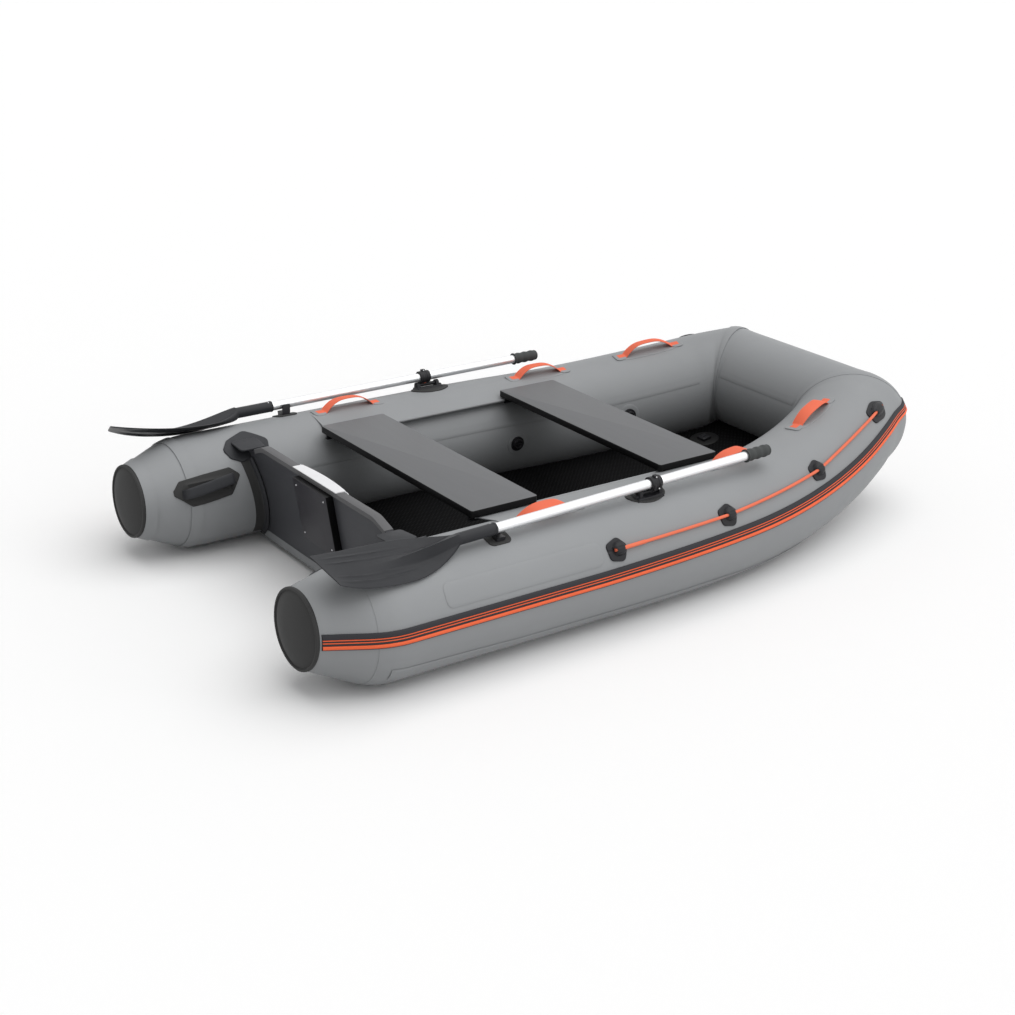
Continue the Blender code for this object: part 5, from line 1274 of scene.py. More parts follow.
    def holder(self, name, side):
        """Shield shaped pad with a hood, and the visor that locks a top corner of the board."""
        half_length, half_width = 0.084, 0.064
        shape = (
            (-0.77, -0.31), (0.18, -0.90), (0.95, 0.09), (0.79, 0.77), (-0.50, 1.16),
            (-0.94, 0.83), (-1.11, 0.28),
        )
        corners = [(half_length * u, half_width * v) for u, v in shape]
        middle = 0.5 * TRANSOM_THICKNESS + TRANSOM_AFT - HOLDER[0]

        def hood(u, v):
            across = max(0.0, 1 - ((u - middle) / 0.052) ** 2)
            return 0.0035 * across * smooth(clamp((v + 0.01) / 0.030))
        tube_pad(name + "_holder_shield", "holder_rubber", rounded(corners, 0.021), (0.005, 0.0025),
                 0.006, HOLDER, side, hood, stands_for=name + "_transom_holder")
        reach, drop = 0.088, 0.0035
        slope = drop / reach
        matrix = Matrix((
            (1, 0, 0, TRANSOM_AFT + 0.5 * TRANSOM_THICKNESS - ORIGIN),
            (0, -side, -side * slope, side * (SHOULDER_Y + reach)),
            (0, -slope, 1, shoulder_z(SHOULDER_Y) + 0.0015 + drop),
            (0, 0, 0, 1),
        ))
        corners = ((-0.050, 0), (0.046, 0), (0.038, reach), (-0.052, reach))
        visor = slab(rounded(corners, 0.014), 0, 0.0058, 0.0022, 3, matrix)
        finish_piece(visor, name + "_holder_visor", "holder_rubber")


class BOAT_OT_stern_handles(bpy.types.Operator):
    """Moulded carrying handles on the inner sides of the stern cones"""

    bl_idname = "boat.stern_handles"
    bl_label = "Stern handles"

    def execute(self, context):
        half_length, half_width = 0.117, 0.050
        shape = (
            (-1.0, -0.14), (-0.80, -0.78), (0.75, -1.0), (1.03, -0.40), (0.675, 0.80),
            (-0.53, 1.18), (-1.0, 0.26),
        )
        outline = rounded([(half_length * u, half_width * v) for u, v in shape], 0.010)
        span, rise, width, thick = 0.084, 0.028, 0.032, 0.012
        bow = ((1.04, 0), (1.01, 0.30), (0.99, 0.66), (0.94, 0.93), (0.82, 1), (0.40, 1), (0, 1))
        path = [(-span * part, rise * lift) for part, lift in bow]
        path += [(span * part, rise * lift) for part, lift in reversed(bow[:-1])]
        section = oval(0.5 * width, 0.5 * thick, 5.0, 28)

        def ridge(u, v):
            """A low rim runs round the recess behind the bar."""
            away = max(abs(u) - 0.074, abs(v) - 0.020)
            return 0.0035 * max(0.0, 1 - (away / 0.006) ** 2)
        for name, side in SIDES:
            tube_pad(name + "_handle_pad", "moulded_rubber", outline, (0.005, 0.0028), 0.005,
                     STERN_HANDLE, side, ridge, stands_for=name + "_stern_handle")

            def point(u, corner, side=side):
                at, height = smooth_path(path, u)
                ahead = smooth_path(path, min(1.0, u + 0.004))
                behind = smooth_path(path, max(0.0, u - 0.004))
                run, climb = ahead[0] - behind[0], ahead[1] - behind[1]
                scale = max(1e-9, hypot(run, climb))
                across, over = corner
                station = STERN_HANDLE[0] + at - climb / scale * over
                angle = STERN_HANDLE[1] - HANDLE_LEAN * at + degrees(across / TUBE_RADIUS)
                return skin(station, angle, height + run / scale * over, side)
            data = swept(64, section, point)
            # The bar is painted a lighter grey than its pad of the same rubber, as a painted
            # highlight
            finish_piece(data, name + "_handle_grip", "lip_rubber", sharp=50)
        return {"FINISHED"}


# Seats


def track_outline(station):
    """Section of the fabric flap from the tube to the bead that holds the seats."""
    centre = hull_section(station, 1)[0]
    away = hypot(BEAD_Y - centre.y, BEAD_Z - centre.z)
    bead = degrees(atan2(BEAD_Z - centre.z, BEAD_Y - centre.y))
    contact = bead - degrees(acos((TUBE_RADIUS + 0.002) / away))
    sheet = 0.0025

    def on_tube(angle, height):
        reach = TUBE_RADIUS + height
        return centre.y + reach * cos(radians(angle)), centre.z + reach * sin(radians(angle))
    leave_y, leave_z = on_tube(contact, 0.002)
    slope = atan2(leave_z - BEAD_Z, leave_y - BEAD_Y)
    points = [
        on_tube(contact - 9, -0.002), on_tube(contact - 9, 0.0012), on_tube(contact - 3, 0.0020),
    ]
    points.append(on_tube(contact, 0.002 + 0.5 * sheet))
    opening = asin(0.5 * sheet / BEAD_RADIUS)
    for k in range(15):
        angle = slope + opening + (2 * pi - 2 * opening) * k / 14
        points.append((BEAD_Y + BEAD_RADIUS * cos(angle), BEAD_Z + BEAD_RADIUS * sin(angle)))
    points += [on_tube(contact + 3, 0.0008), on_tube(contact + 12, 0.0008)]
    points.append(on_tube(contact + 12, -0.002))
    return points


class BOAT_OT_seats(bpy.types.Operator):
    """Two seat boards with the hooks at their ends, and the tracks on which they slide"""

    bl_idname = "boat.seats"
    bl_label = "Seats and tracks"

    def execute(self, context):
        for name, body in (("aft_seat", "aft_bench"), ("forward_seat", "forward_bench")):
            self.board(name, body)
        for name, side in SIDES:
            rows = len(track_outline(TRACK_START))

            def place(u, v, side=side):
                station = TRACK_START + TRACK_LENGTH * u
                y, z = track_outline(station)[round(v * rows) % rows]
                return Vector((station - ORIGIN, side * y, z))
            data = bent_grid(80, rows, place, True, True, fabric=(1.06, 0.09))
            finish_piece(data, name + "_track_flap", "coated_fabric",
                         stands_for=name + "_seat_track", sharp=45)
        return {"FINISHED"}

    def board(self, name, body):
        """A board, and the two hooks under its ends that grip the beads of the tracks."""
        low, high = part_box(name)
        aft, fore, half = low.x, high.x, SEAT_HALF_LENGTH
        outline = rounded([(aft, -half), (fore, -half), (fore, half), (aft, half)], 0.008, 4)
        data = slab(outline, SEAT_TOP - SEAT_THICKNESS, SEAT_TOP, 0.0016, 3)
        for face in data.faces:
            face.material_index = 0 if abs(face.normal.z) > 0.8 else 1
        finish_piece(data, name + "_board", ("seat_paint", "board_edge"), body, name)
        slot = BEAD_RADIUS + 0.0005
        wall, jaw = BEAD_Y - slot - 0.0045, BEAD_Y + 0.0025
        under, top = BEAD_Z - slot - 0.0036, SEAT_TOP - SEAT_THICKNESS + 0.002
        hook = [(wall, top), (wall, under), (jaw, under)]
        jaw_angle = acos((jaw - BEAD_Y) / slot)
        for k in range(13):
            angle = -jaw_angle + (-1.25 * pi + jaw_angle) * k / 12
            hook.append((BEAD_Y + slot * cos(angle), BEAD_Z + slot * sin(angle)))
        hook.append((BEAD_Y - slot * cos(0.25 * pi), top))
        inset = 0.006
        matrix = across_boat(aft + inset)
        for label, side in SIDES:
            outline = [(side * y, z) for y, z in hook]
            data = slab(outline, 0, fore - aft - 2 * inset, matrix=matrix)
            finish_piece(data, name + "_" + label + "_hook", "fitting_nylon", body)


# Valves


class BOAT_OT_valves(bpy.types.Operator):
    """Air valves of the three chambers, each with a patch, a body and a screwed cap"""

    bl_idname = "boat.valves"
    bl_label = "Air valves"

    def execute(self, context):
        body = [
            (0.0105, -0.004), (0.0275, -0.004), (0.0275, 0.0016), (0.0270, 0.0026),
            (0.0258, 0.0031), (0.0225, 0.0031), (0.0217, 0.0022), (0.0208, 0.0031),
            (0.0105, 0.0031), (0.0105, -0.004),
        ]
        cap = [
            (0.0, 0.0032), (0.0187, 0.0032), (0.0187, 0.0082), (0.0180, 0.0095),
            (0.0165, 0.0103), (0.0140, 0.0104), (0.0128, 0.0095), (0.0118, 0.0075),
            (0.0060, 0.0072), (0.0, 0.0072),
        ]
        for name, station, angle, side in VALVES:
            matrix = skin_frame(station, angle, side)
            title = name + "_valve"
            tube_pad(title + "_patch", "coated_fabric", oval(0.044, 0.044, 2, 48),
                     (0.0009, 0.0005, 2), 0.012, (station, angle), side)
            data = turned(body, matrix)
            finish_piece(data, title + "_flange", "valve_acetal", stands_for=title + "_body")
            parts = [
                turned(cap, matrix),
                block((0.030, 0.0042, 0.0030), (0, 0, 0.0088), matrix, 0.0008),
                block((0.0042, 0.030, 0.0030), (0, 0, 0.0086), matrix, 0.0008),
            ]
            for k in range(12):
                turn = matrix @ Matrix.Rotation(2 * pi * k / 12, 4, "Z")
                parts.append(block((0.0016, 0.0026, 0.0046), (0.0186, 0, 0.0056), turn, 0.0005, 1))
            data = joined(*parts)
            finish_piece(data, title + "_knob", "valve_acetal", name + "_cap", title + "_cap")
        return {"FINISHED"}


# Webbing handles


class BOAT_OT_grab_handles(bpy.types.Operator):
    """Six webbing grab handles, each between two patches on a larger one"""

    bl_idname = "boat.grab_handles"
    bl_label = "Grab handles"

    def execute(self, context):
        span, tail, rise, thick, width = 0.097, 0.028, 0.040, 0.0028, 0.040
        flat = 0.0024
        path = [(-span - tail, flat), (-span - 0.4 * tail, flat), (-span, flat + 0.0004)]
        for part in (0.88, 0.72, 0.52, 0.30, 0.0):
            height = flat + (rise - thick - flat) * cos(0.5 * pi * part ** 1.5)
            path.append((-span * part, height))
        path += [(-u, h) for u, h in reversed(path[:-1])]

        def point(u, v, station, angle, side):
            """Narrower and leaning at the crown, where the webbing stands free."""
            at, height = smooth_path(path, u)
            across = width * (v - 0.5) * (1 - 0.10 * sin(pi * u) ** 2)
            crown = 0.0010 * (1 - (2 * v - 1) ** 2)
            lean = max(0.0, height - flat) / rise
            turn = degrees((across - 0.010 * lean) / TUBE_RADIUS)
            over = max(height, 0.0030) + crown + 0.18 * lean * across
            return skin(station + at, angle + turn, over, side)
        for label, station, angle in GRAB_HANDLES:
            for name, side in SIDES:
                title = name + "_" + label
                tube_pad(title + "_handle_patch", "coated_fabric", oval(0.135, 0.037, 3.2, 56),
                         (0.0012, 0.0006, 2), 0.010, (station, angle), side,
                         stands_for=title + "_grab_handle")

                def place(u, v, station=station, angle=angle, side=side):
                    return point(u, v, station, angle, side)
                data = bent_grid(72, 10, place, fabric=(0.24, width), solid=0.0022)
                finish_piece(data, title + "_handle_webbing", "webbing", sharp=60)
                self.covers(title, station, angle, side, span + 0.017)
        return {"FINISHED"}

    def covers(self, title, station, angle, side, reach):
        """The patches over the two sewn ends."""
        corners = ((-0.026, -0.029), (0.019, -0.027), (0.019, 0.027), (-0.026, 0.029))
        for end, label in ((-1, "aft"), (1, "fore")):
            outline = [(end * -u, v) for u, v in rounded(corners, 0.014)]
            tube_pad(title + "_handle_cover_" + label, "coated_fabric", outline,
                     (0.0036, 0.0012, 2), 0.007, (station + end * reach, angle), side, low=0.0008)


# Grab lines


def line_angle(path):
    """Straight between fairleads on the flat tube; pulled up over the bend towards the bow."""
    pull = 0.0
    for (s0, _), (s1, _), most in zip(FAIRLEADS[1:], FAIRLEADS[2:], (0.8, 2.2)):
        pull += most * sin(pi * clamp((path - s0) / (s1 - s0)))
    return between(FAIRLEADS, path) + pull


def line_height(path):
    """High in each fairlead's hole and low on the tube between them, with a smooth run down."""
    away = min(abs(path - station) for station, _ in FAIRLEADS)
    part = smooth(clamp((away - 0.040) / 0.055))
    return LINE_IN_FAIRLEAD + (LINE_ON_TUBE - LINE_IN_FAIRLEAD) * part


def line_point(path, side):
    return skin(path, line_angle(path), line_height(path), side)


class BOAT_OT_grab_lines(bpy.types.Operator):
    """Two braided grab lines, taut through four fairleads a side, spliced at the stern end"""

    bl_idname = "boat.grab_lines"
    bl_label = "Grab lines"

    def execute(self, context):
        for name, side in SIDES:
            self.line(name, side)
            for number, (station, angle) in enumerate(FAIRLEADS, 1):
                self.fairlead(name, side, number, station, angle)
        return {"FINISHED"}

    def line(self, name, side):
        start, end = FAIRLEADS[0][0] - 0.014, FAIRLEADS[-1][0] + 0.020
        rope_length = end - start
        turns = rope_length / sizes().strand_length

        def place(u, v):
            path = start + rope_length * u
            here = line_point(path, side)
            tangent = (line_point(path + 0.002, side) - here).normalized()
            out = (here - hull_section(path, side)[0]).normalized()
            across = tangent.cross(out).normalized()
            turn = 2 * pi * v
            wave = 4 * 2 * pi * turns * u
            plait = sin(4 * turn + wave) * sin(4 * turn - wave)
            splice = 1.22 if 0.031 < path - start < 0.12 else 1.0
            radius = LINE_RADIUS * splice * (0.93 + 0.07 * plait)
            return here + out * (radius * cos(turn)) + across * (radius * sin(turn))
        fabric = (rope_length, 2 * pi * LINE_RADIUS)
        data = bent_grid(760, 24, place, True, True, fabric=fabric)
        finish_piece(data, name + "_rope", "rope", stands_for=name + "_grab_line", sharp=80)

    def fairlead(self, name, side, number, station, angle):
        """A hooded pad, bored for the rope."""
        size = 0.040
        shape = ((-1.0, 0.55), (-0.80, -0.72), (0.50, -1.0), (1.0, 0.20), (0.25, 1.0))
        outline = rounded([(u * size, v * size) for u, v in shape], 0.42 * size)

        def hood(u, v):
            """A hood over the rope, ribbed on top and steep towards the stern."""
            reach = hypot((u - 0.005) / 0.025, (v - 0.002) / 0.021)
            rise = max(0.0, 1 - reach ** 3.2)
            rib = 0.0007 * cos(2 * pi * v / 0.009) * rise
            return 0.0155 * rise ** 0.55 + rib
        title = name + "_fairlead_" + str(number)
        item = tube_pad(title + "_eye", "fitting_nylon", outline, (0.0045, 0.0025), 0.0026,
                        (station, angle), side, hood, stands_for=title, sharp=50)
        aft, fore = [
            skin(where, line_angle(where), LINE_IN_FAIRLEAD, side)
            for where in (station - 0.05, station + 0.05)
        ]
        middle = skin(station, angle, LINE_IN_FAIRLEAD, side)
        profile = [
            (0, -0.06), (0.0105, -0.06), (0.0072, -0.012), (0.0072, 0.012), (0.0105, 0.06),
            (0, 0.06),
        ]
        cut(item, turned(profile, axis_frame(middle, middle + fore - aft), 20))


# Oarlocks and oars


def pivot_offset(side):
    """The same moulding serves both sides, so its pivot is aft of the middle on one of them."""
    return -side * PIVOT_OFFSET


def lock_frame(side):
    return skin_frame(OARLOCK_STATION, OARLOCK_ANGLE, side)


def oar_frame(side):
    """Frame on the oar's axis over its pivot: X along the shaft to the grip, Z along the pivot."""
    base = lock_frame(side)
    normal = base.to_3x3().col[2]
    along = Vector((1.0, -side * SHAFT_TOE_IN, SHAFT_RISE)).normalized()
    up = (normal - along * normal.dot(along)).normalized()
    origin = base @ Vector((pivot_offset(side), 0, PIN_HEIGHT + SHAFT_ABOVE_PIN))
    return frame_from(along, up, origin)


def along_x(matrix, x=0.0, z=0.0):
    """The same frame with its Z axis along the old X axis, moved to a point in it."""
    return matrix @ Matrix.Translation((x, 0, z)) @ Matrix.Rotation(pi / 2, 4, "Y")


class BOAT_OT_oarlocks(bpy.types.Operator):
    """Oarlock bases with two lugs and a pin, and the knuckles that turn on the pins"""

    bl_idname = "boat.oarlocks"
    bl_label = "Oarlocks"

    def execute(self, context):
        for name, side in SIDES:
            self.base(name, side)
            self.knuckle(name, side)
        return {"FINISHED"}

    def base(self, name, side):
        """A moulding on its patch, with a lug at each end of the pin."""
        spot = (OARLOCK_STATION, OARLOCK_ANGLE + 3.5)
        tube_pad(name + "_lock_patch", "moulded_rubber", oval(0.076, 0.045, 1.9, 48),
                 (0.004, 0.002), 0.006, spot, side, stands_for=name + "_oarlock_base")
        base = lock_frame(side)
        parts = [block((0.112, 0.046, 0.012), (0, 0, 0.003), base, 0.0025, 3, 0.005)]
        near = pivot_offset(side) - side * 0.0225
        far = pivot_offset(side) + side * 0.0450
        radius, thick = 0.0112, side * 0.014
        outline = [(-0.0155, 0.004), (0.0155, 0.004)]
        for k in range(13):
            angle = pi * k / 12
            outline.append((radius * cos(angle), PIN_HEIGHT + radius * sin(angle)))
        for start in (near - thick, far):
            low, high = sorted((start, start + thick))
            parts.append(slab(outline, low, high, 0.0016, 3, base @ across_boat(0)))
        foot = (far + 0.5 * thick + side * 0.010, 0, 0.0085)
        parts.append(block((0.020, 0.022, 0.010), foot, base, 0.003, 3, 0.004))
        ring = [
            (0, -0.001), (0.0075, -0.001), (0.0075, 0.0012), (0.0066, 0.0022), (0.0052, 0.0022),
            (0.0046, 0.0006), (0.0, 0.0006),
        ]
        for x, facing in ((near - thick, -side), (far + thick, side)):
            matrix = along_x(base, x, PIN_HEIGHT)
            if facing < 0:
                matrix = matrix @ Matrix.Rotation(pi, 4, "X")
            parts.append(turned(ring, matrix, 28))
        finish_piece(joined(*parts), name + "_lock_bracket", "fitting_nylon")

    def knuckle(self, name, side):
        """A barrel round the pin with a post on it, and a washer under the collar's foot."""
        base, pivot = lock_frame(side), pivot_offset(side)
        body = name + "_knuckle"
        low, high = sorted((pivot - side * 0.0222, pivot + side * 0.0447))
        barrel = turned([
            (0, 0), (0.0054, 0), (0.0065, 0.0011), (0.0065, high - low - 0.0011),
            (0.0054, high - low), (0, high - low),
        ], along_x(base, low, PIN_HEIGHT), 32)
        top = SHAFT_ABOVE_PIN - SHAFT_RADIUS - 0.0008
        post = base @ Matrix.Translation((pivot, 0, PIN_HEIGHT))
        spigot = turned([
            (0, 0), (0.0085, 0.001), (0.0085, 0.0040), (0.0060, 0.0060), (0.0060, top), (0, top),
        ], post, 32)
        data = joined(barrel, spigot)
        finish_piece(data, body + "_body", "fitting_nylon", body, name + "_oarlock_knuckle")
        washer = turned([
            (0.0062, 0.0056), (0.0096, 0.0056), (0.0102, 0.0060), (0.0096, 0.0064),
            (0.0062, 0.0064), (0.0062, 0.0056),
        ], post, 32)
        finish_piece(washer, body + "_washer", "strake_line", body)


def blade_half_width(x):
    if x > BLADE_THROAT:
        return SLEEVE_RADIUS
    if x > BLADE_WIDEST:
        part = (BLADE_THROAT - x) / (BLADE_THROAT - BLADE_WIDEST)
        ease = sin(0.5 * pi * min(1.0, part * 1.15)) ** 0.9
        return SLEEVE_RADIUS + (BLADE_HALF_WIDTH - SLEEVE_RADIUS) * ease
    part = (BLADE_WIDEST - x) / (BLADE_WIDEST - BLADE_TIP)
    return BLADE_HALF_WIDTH + (BLADE_TIP_HALF - BLADE_HALF_WIDTH) * part ** 1.8


def blade_half_thickness(x):
    if x > BLADE_THROAT:
        return SLEEVE_RADIUS
    part = min(1.0, (BLADE_THROAT - x) / (0.45 * (BLADE_THROAT - BLADE_WIDEST)))
    return 0.0024 + (SLEEVE_RADIUS - 0.0024) * (1 - part) ** 1.5


def blade_part(x):
    """From 0 at the throat to 1 at the tip; 0 on the sleeve too."""
    return max(0.0, (BLADE_THROAT - x) / (BLADE_THROAT - BLADE_TIP))


def blade_offset(x):
    """Distance of the blade's middle from the shaft's axis, along the blade's normal."""
    part = blade_part(x)
    return 0.030 * part ** 4 - 0.028 * sin(pi * part ** 0.6)


def blade_relief(x, across, upper):
    """Height of the ribs, and of the spine on the upper face; across runs from -1 to 1."""
    part = blade_part(x)
    if part == 0.0:
        return 0.0
    spine = 0.0
    if upper:
        crest = (SLEEVE_RADIUS - blade_offset(x)) * max(0.0, 1 - part / 0.95) ** 1.6
        reach = abs(across) * blade_half_width(x) / (SLEEVE_RADIUS * (1 + 0.9 * part))
        rise = max(0.0, crest + 0.003 * (1 - part) - blade_half_thickness(x))
        spine = rise * max(0.0, 1 - reach)
    fade = clamp((part - 0.28) / 0.2) * clamp((0.97 - part) / 0.12)
    height = 0.0
    for middle in (0.36, 0.66):
        away = (abs(across) - middle * (0.7 + 0.3 * part)) / 0.13
        if 0 <= away < 1:
            height += 0.0032 * fade * (1 - away) * min(1.0, away / 0.15)
    rim = 0.0012 * max(0.0, (abs(across) - 0.93) / 0.07) * min(1.0, part / 0.2)
    return spine + height + rim


class BOAT_OT_oars(bpy.types.Operator):
    """Two oars: drawn shafts, clamped collars, ribbed grips and spooned blades"""

    bl_idname = "boat.oars"
    bl_label = "Oars"

    def execute(self, context):
        for name, side in SIDES:
            frame_here = oar_frame(side)
            body = name + "_oar"
            self.shaft(name, frame_here, body)
            self.grip(name, frame_here, body)
            self.collar(name, frame_here, body, side)
            self.blade(name, frame_here, body, side)
        return {"FINISHED"}

    def shaft(self, name, frame_here, body):
        aft, forward = -0.700, 0.495

        def place(u, v):
            turn = 2 * pi * v
            x = aft + (forward - aft) * u
            return frame_here @ Vector((x, SHAFT_RADIUS * cos(turn), SHAFT_RADIUS * sin(turn)))
        fabric = (forward - aft, 2 * pi * SHAFT_RADIUS)
        data = bent_grid(24, 56, place, True, True, fabric=fabric)
        finish_piece(data, name + "_shaft_tube", "shaft_aluminium", body, name + "_oar_shaft")

    def grip(self, name, frame_here, body):
        """A collar, three soft swells and a rounded end."""
        start, long, radius = 0.400, 0.106, SHAFT_RADIUS + 0.0048
        end = start + long
        profile = [
            (SHAFT_RADIUS, start), (radius + 0.0012, start), (radius + 0.0017, start + 0.0008),
            (radius + 0.0017, start + 0.0030), (radius + 0.0008, start + 0.0044),
        ]
        for k in range(45):
            part = k / 44
            swell = 0.0011 * cos(2 * pi * 3 * part)
            profile.append((radius - 0.0008 - swell, start + 0.007 + (long - 0.016) * part))
        for k in range(7):
            turn = 0.5 * pi * k / 6
            across = radius - 0.009 + 0.0075 * cos(turn)
            profile.append((across, end - 0.0075 + 0.0075 * sin(turn)))
        profile.append((0.0, end))
        data = turned(profile, along_x(frame_here))
        finish_piece(data, name + "_grip_sleeve", "grip_rubber", body, name + "_oar_grip", 60)

    def collar(self, name, frame_here, body, side):
        """A ring in two halves, the foot that turns on the knuckle, and the clamp's two screws."""
        radius, half, inner = SHAFT_RADIUS + 0.0065, 0.021, SHAFT_RADIUS + GAP
        profile = [
            (inner, -half), (radius - 0.0012, -half), (radius, -half + 0.0012), (radius, -0.0065),
            (radius - 0.0010, -0.0055), (radius - 0.0010, 0.0055), (radius, 0.0065),
            (radius, half - 0.0012), (radius - 0.0012, half), (inner, half), (inner, -half),
        ]
        foot = -(SHAFT_ABOVE_PIN - BARREL_RADIUS - GAP)
        middle = 0.5 * (SHAFT_RADIUS + radius)
        foot_profile = [
            (0, foot), (0.0094, foot), (0.0100, foot + 0.0006), (0.0100, -middle), (0, -middle),
        ]
        parts = [
            turned(profile, along_x(frame_here), 56),
            turned(foot_profile, frame_here, 36),
            block((0.017, 0.014, 0.010), (0, 0, middle + 0.0042), frame_here, 0.0015, 3, 0.0015),
            block((0.019, 0.0030, 0.008), (0, 0, -middle + 0.001), frame_here, 0.0008),
        ]
        for reach in (-1, 1):
            ear = (reach * 0.012, side * (radius - 0.0005), -0.004)
            parts.append(block((0.010, 0.006, 0.022), ear, frame_here, 0.0018, 2, 0.001))
        title = name + "_collar"
        data = joined(*parts)
        finish_piece(data, title + "_clamp", "fitting_nylon", body, name + "_oar_collar")
        places = (
            ("_screw_top", (0, -0.007, middle + 0.0045), pi / 2),
            ("_screw_low", (0.006, side * (radius + 0.0012), -0.010), -side * pi / 2),
        )
        for label, place, turn in places:
            matrix = frame_here @ Matrix.Translation(place) @ Matrix.Rotation(turn, 4, "X")
            screw(matrix, 0.0030, title + label, body=body)

    def blade(self, name, frame_here, body, side):
        """A spooned and ribbed plate on a sleeve with an end ring and two rivets."""
        tilt = -side * radians(BLADE_TILT)
        across_axis = Vector((0, cos(tilt), sin(tilt)))
        normal = Vector((0, -sin(tilt), cos(tilt)))
        reach = BLADE_START - BLADE_TIP

        def place(u, v):
            """Round at the sleeve; beyond the throat a plate whose points lie evenly across it."""
            x = BLADE_START - reach * u
            turn = 2 * pi * v
            wide, thick = blade_half_width(x), blade_half_thickness(x)
            flat = clamp((BLADE_THROAT - x) / 0.06)
            even = 1 - 4 * v if v <= 0.5 else 4 * v - 3
            plate = sqrt(max(0.0, 1 - even ** 10)) * (1 if v <= 0.5 else -1)
            across = (1 - flat) * cos(turn) + flat * even
            over = (1 - flat) * sin(turn) + flat * plate
            edge = min(1.0, abs(over) * 3)
            upper = over > 0
            height = thick * over + (1 if upper else -1) * edge * blade_relief(x, across, upper)
            end_trim = 0.016 * side * across * max(0.0, (u - 0.75) / 0.25) ** 2
            point = Vector((x + end_trim, 0, 0)) + across_axis * (wide * across)
            return frame_here @ (point + normal * (blade_offset(x) + height))
        title = name + "_blade"
        data = bent_grid(130, 120, place, True, True)
        finish_piece(data, title + "_paddle", "blade_nylon", body, name + "_oar_blade", 60)
        inner, outer = SHAFT_RADIUS + GAP, SLEEVE_RADIUS + 0.0008
        rim = turned([
            (inner, 0), (outer, 0), (outer, 0.004), (SLEEVE_RADIUS, 0.006), (inner, 0.006),
            (inner, 0),
        ], along_x(frame_here, BLADE_START - 0.0045))
        finish_piece(rim, title + "_collar", "blade_nylon", body)
        rivet = [(0, -0.001), (0.0022, -0.001), (0.0022, 0.0005), (0.0015, 0.0010), (0, 0.0012)]
        turn = frame_here @ Matrix.Rotation(side * radians(28), 4, "X")
        for number, back, finish in ((1, 0.012, "steel"), (2, 0.020, "fitting_nylon")):
            spot = (BLADE_START - back, 0, SLEEVE_RADIUS - 0.0004)
            data = turned(rivet, turn @ Matrix.Translation(spot), 20)
            finish_piece(data, title + "_rivet_" + str(number), finish, body)


class BOAT_OT_oar_clips(bpy.types.Operator):
    """Hooks glued to the tubes that hold the stowed oars, open outboard"""

    bl_idname = "boat.oar_clips"
    bl_label = "Oar clips"

    def execute(self, context):
        reach, wall = SHAFT_RADIUS + 0.004, 0.005
        floor = -(SHAFT_RADIUS + 0.011)
        section = (
            (-reach - wall, floor - 3 * wall), (0.55 * reach, floor - 3 * wall),
            (0.75 * reach, floor), (-0.45 * reach, floor), (-reach, 0.45 * floor),
            (-reach, 0.10 * reach), (-reach - 0.5 * wall, 0.28 * reach),
            (-reach - wall, 0.10 * reach),
        )
        corners = ((-0.040, -0.031), (0.040, -0.031), (0.040, 0.031), (-0.040, 0.031))
        for name, side in SIDES:
            oar = oar_frame(side)
            along = oar.to_3x3().col[0]
            distance = (CLIP_STATION - ORIGIN - oar.translation.x) / along.x
            axis = oar.translation + along * distance
            centre = hull_section(CLIP_STATION, side)[0]
            angle = degrees(atan2(axis.z - centre.z, side * (axis.y - centre.y)))
            tube_pad(name + "_clip_patch", "moulded_rubber", rounded(corners, 0.018),
                     (0.004, 0.002), 0.006, (CLIP_STATION, angle), side,
                     stands_for=name + "_oar_clip")
            outline = [(side * y, z) for y, z in section]
            hook = slab(outline, -0.015, 0.015, 0.0014, 2, across_boat(*axis))
            finish_piece(hook, name + "_clip_hook", "fitting_nylon")
        return {"FINISHED"}


# Studio


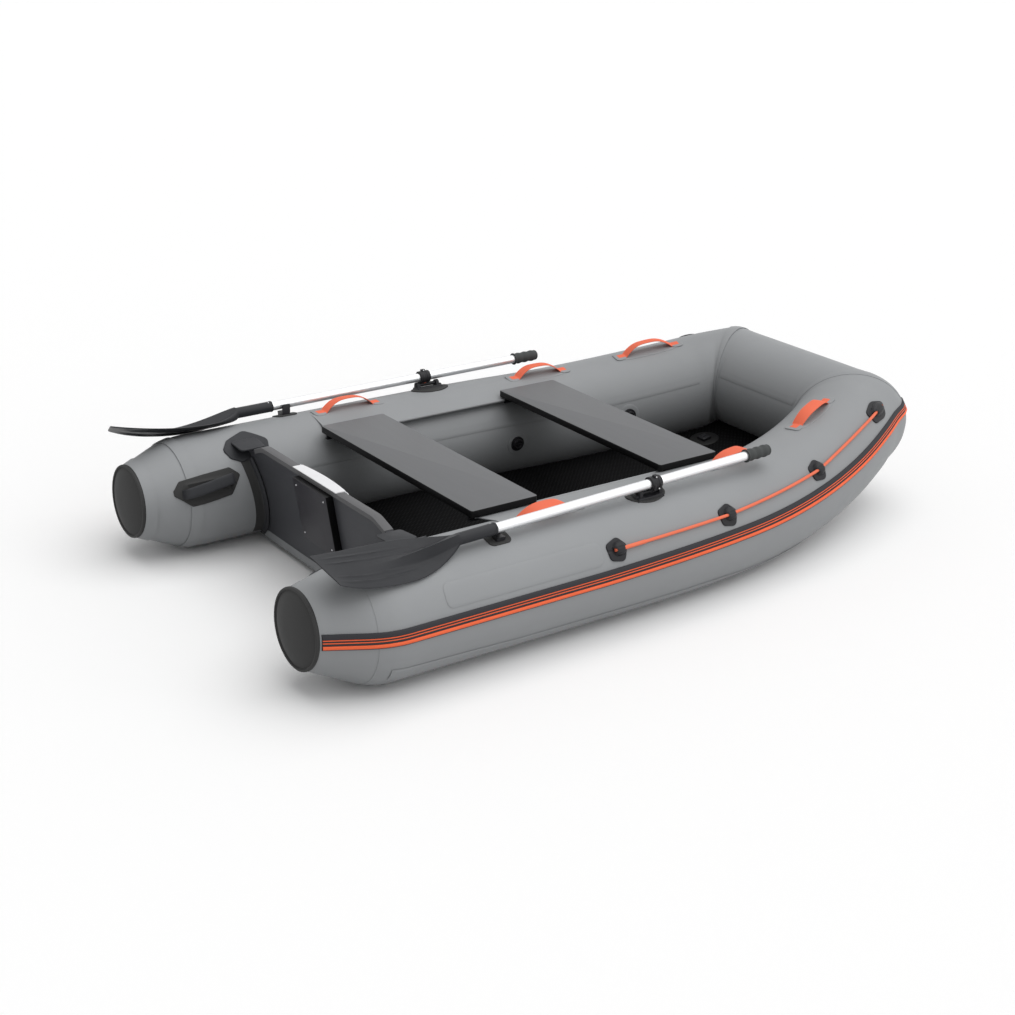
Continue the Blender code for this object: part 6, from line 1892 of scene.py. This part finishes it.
class BOAT_OT_studio(bpy.types.Operator):
    """Pale floor, soft light and the photograph's camera"""

    bl_idname = "boat.studio"
    bl_label = "Studio"

    def execute(self, context):
        scene = context.scene
        scene.view_settings.view_transform = "Standard"
        self.camera(scene)
        self.world(scene)
        for name, energy, toward in LAMPS:
            light = bpy.data.lights.new(name, "SUN")
            light.energy = energy
            light.angle = radians(LAMP_SPREAD)
            lamp = add_object(name, light)
            lamp.rotation_euler = Vector(toward).to_track_quat("Z", "Y").to_euler()
        self.floor()
        return {"FINISHED"}

    def floor(self):
        data = bmesh.new()
        bmesh.ops.create_grid(data, x_segments=4, y_segments=4, size=sizes().floor_size)
        floor = add_object("studio_floor", mesh_from(data, "studio_floor"))
        paper = Look("studio_paper", linear("#fafafa"), roughness=0.9)
        paper.vary_roughness(0.85, 0.95, paper.noise(0.4))
        paper.mix_colour(self.seen(paper.tree), linear("#d6d6d6"), (1.0, 1.0, 1.0))
        floor.data.materials.append(paper.material)

    def camera(self, scene):
        level = cos(CAMERA_PITCH)
        aim = Vector((cos(CAMERA_YAW) * level, sin(CAMERA_YAW) * level, -sin(CAMERA_PITCH)))
        right = Vector((sin(CAMERA_YAW), -cos(CAMERA_YAW), 0))
        right = cos(CAMERA_ROLL) * right + sin(CAMERA_ROLL) * right.cross(aim)
        data = bpy.data.cameras.new("photo_camera")
        data.sensor_width = 36.0
        data.lens = FOCAL_PIXELS * data.sensor_width / PHOTO_PIXELS
        data.clip_end = 500.0
        camera = add_object("photo_camera", data)
        origin = Vector(CAMERA_STATION) - Vector((ORIGIN, 0, 0))
        camera.matrix_world = frame_from(right, -aim, origin)
        scene.camera = camera

    def seen(self, tree):
        """1 for what the camera, mirrors and glass see, 0 for light on its way to the object."""
        rays = node(tree, "LightPath").outputs
        straight = combined(tree, "ADD", rays["Is Camera Ray"], rays["Is Glossy Ray"])
        return combined(tree, "ADD", straight, rays["Is Transmission Ray"])

    def world(self, scene):
        world = bpy.data.worlds.new("studio_world")
        world.use_nodes = True
        scene.world = world
        tree = world.node_tree
        tree.nodes.clear()
        white = (1, 1, 1, 1)
        light = node(tree, "Background", {"Color": white, "Strength": WORLD_STRENGTH})
        bright = node(tree, "Background", {"Color": white, "Strength": 1.0})
        sockets = {0: self.seen(tree), 1: light.outputs[0], 2: bright.outputs[0]}
        mixed = node(tree, "MixShader", sockets)
        node(tree, "OutputWorld", {"Surface": mixed.outputs[0]})


PIECES = (
    BOAT_OT_studio, BOAT_OT_air_chambers, BOAT_OT_stern_caps, BOAT_OT_rub_strake, BOAT_OT_floor,
    BOAT_OT_transom, BOAT_OT_stern_handles, BOAT_OT_seats, BOAT_OT_valves, BOAT_OT_grab_handles,
    BOAT_OT_grab_lines, BOAT_OT_oarlocks, BOAT_OT_oars, BOAT_OT_oar_clips,
)


class BOAT_PT_panel(bpy.types.Panel):
    bl_label = "Inflatable boat"
    bl_idname = "BOAT_PT_panel"
    bl_space_type = "VIEW_3D"
    bl_region_type = "UI"
    bl_category = "Boat"

    def draw(self, context):
        for piece in PIECES:
            self.layout.operator(piece.bl_idname)
        for group in (context.scene.boat_colours, context.scene.boat_sizes):
            column = self.layout.column()
            for key in group.bl_rna.properties.keys():
                if key not in ("rna_type", "name"):
                    column.prop(group, key)


CLASSES = (BoatColours, BoatSizes, *PIECES, BOAT_PT_panel)


def register():
    for one in CLASSES:
        bpy.utils.register_class(one)
    bpy.types.Scene.boat_colours = PointerProperty(type=BoatColours)
    bpy.types.Scene.boat_sizes = PointerProperty(type=BoatSizes)


def unregister():
    del bpy.types.Scene.boat_sizes
    del bpy.types.Scene.boat_colours
    for one in reversed(CLASSES):
        bpy.utils.unregister_class(one)


def main():
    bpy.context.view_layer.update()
    register()
    for piece in PIECES:
        group, action = piece.bl_idname.split(".")
        getattr(getattr(bpy.ops, group), action)()


if __name__ == "__main__":
    main()
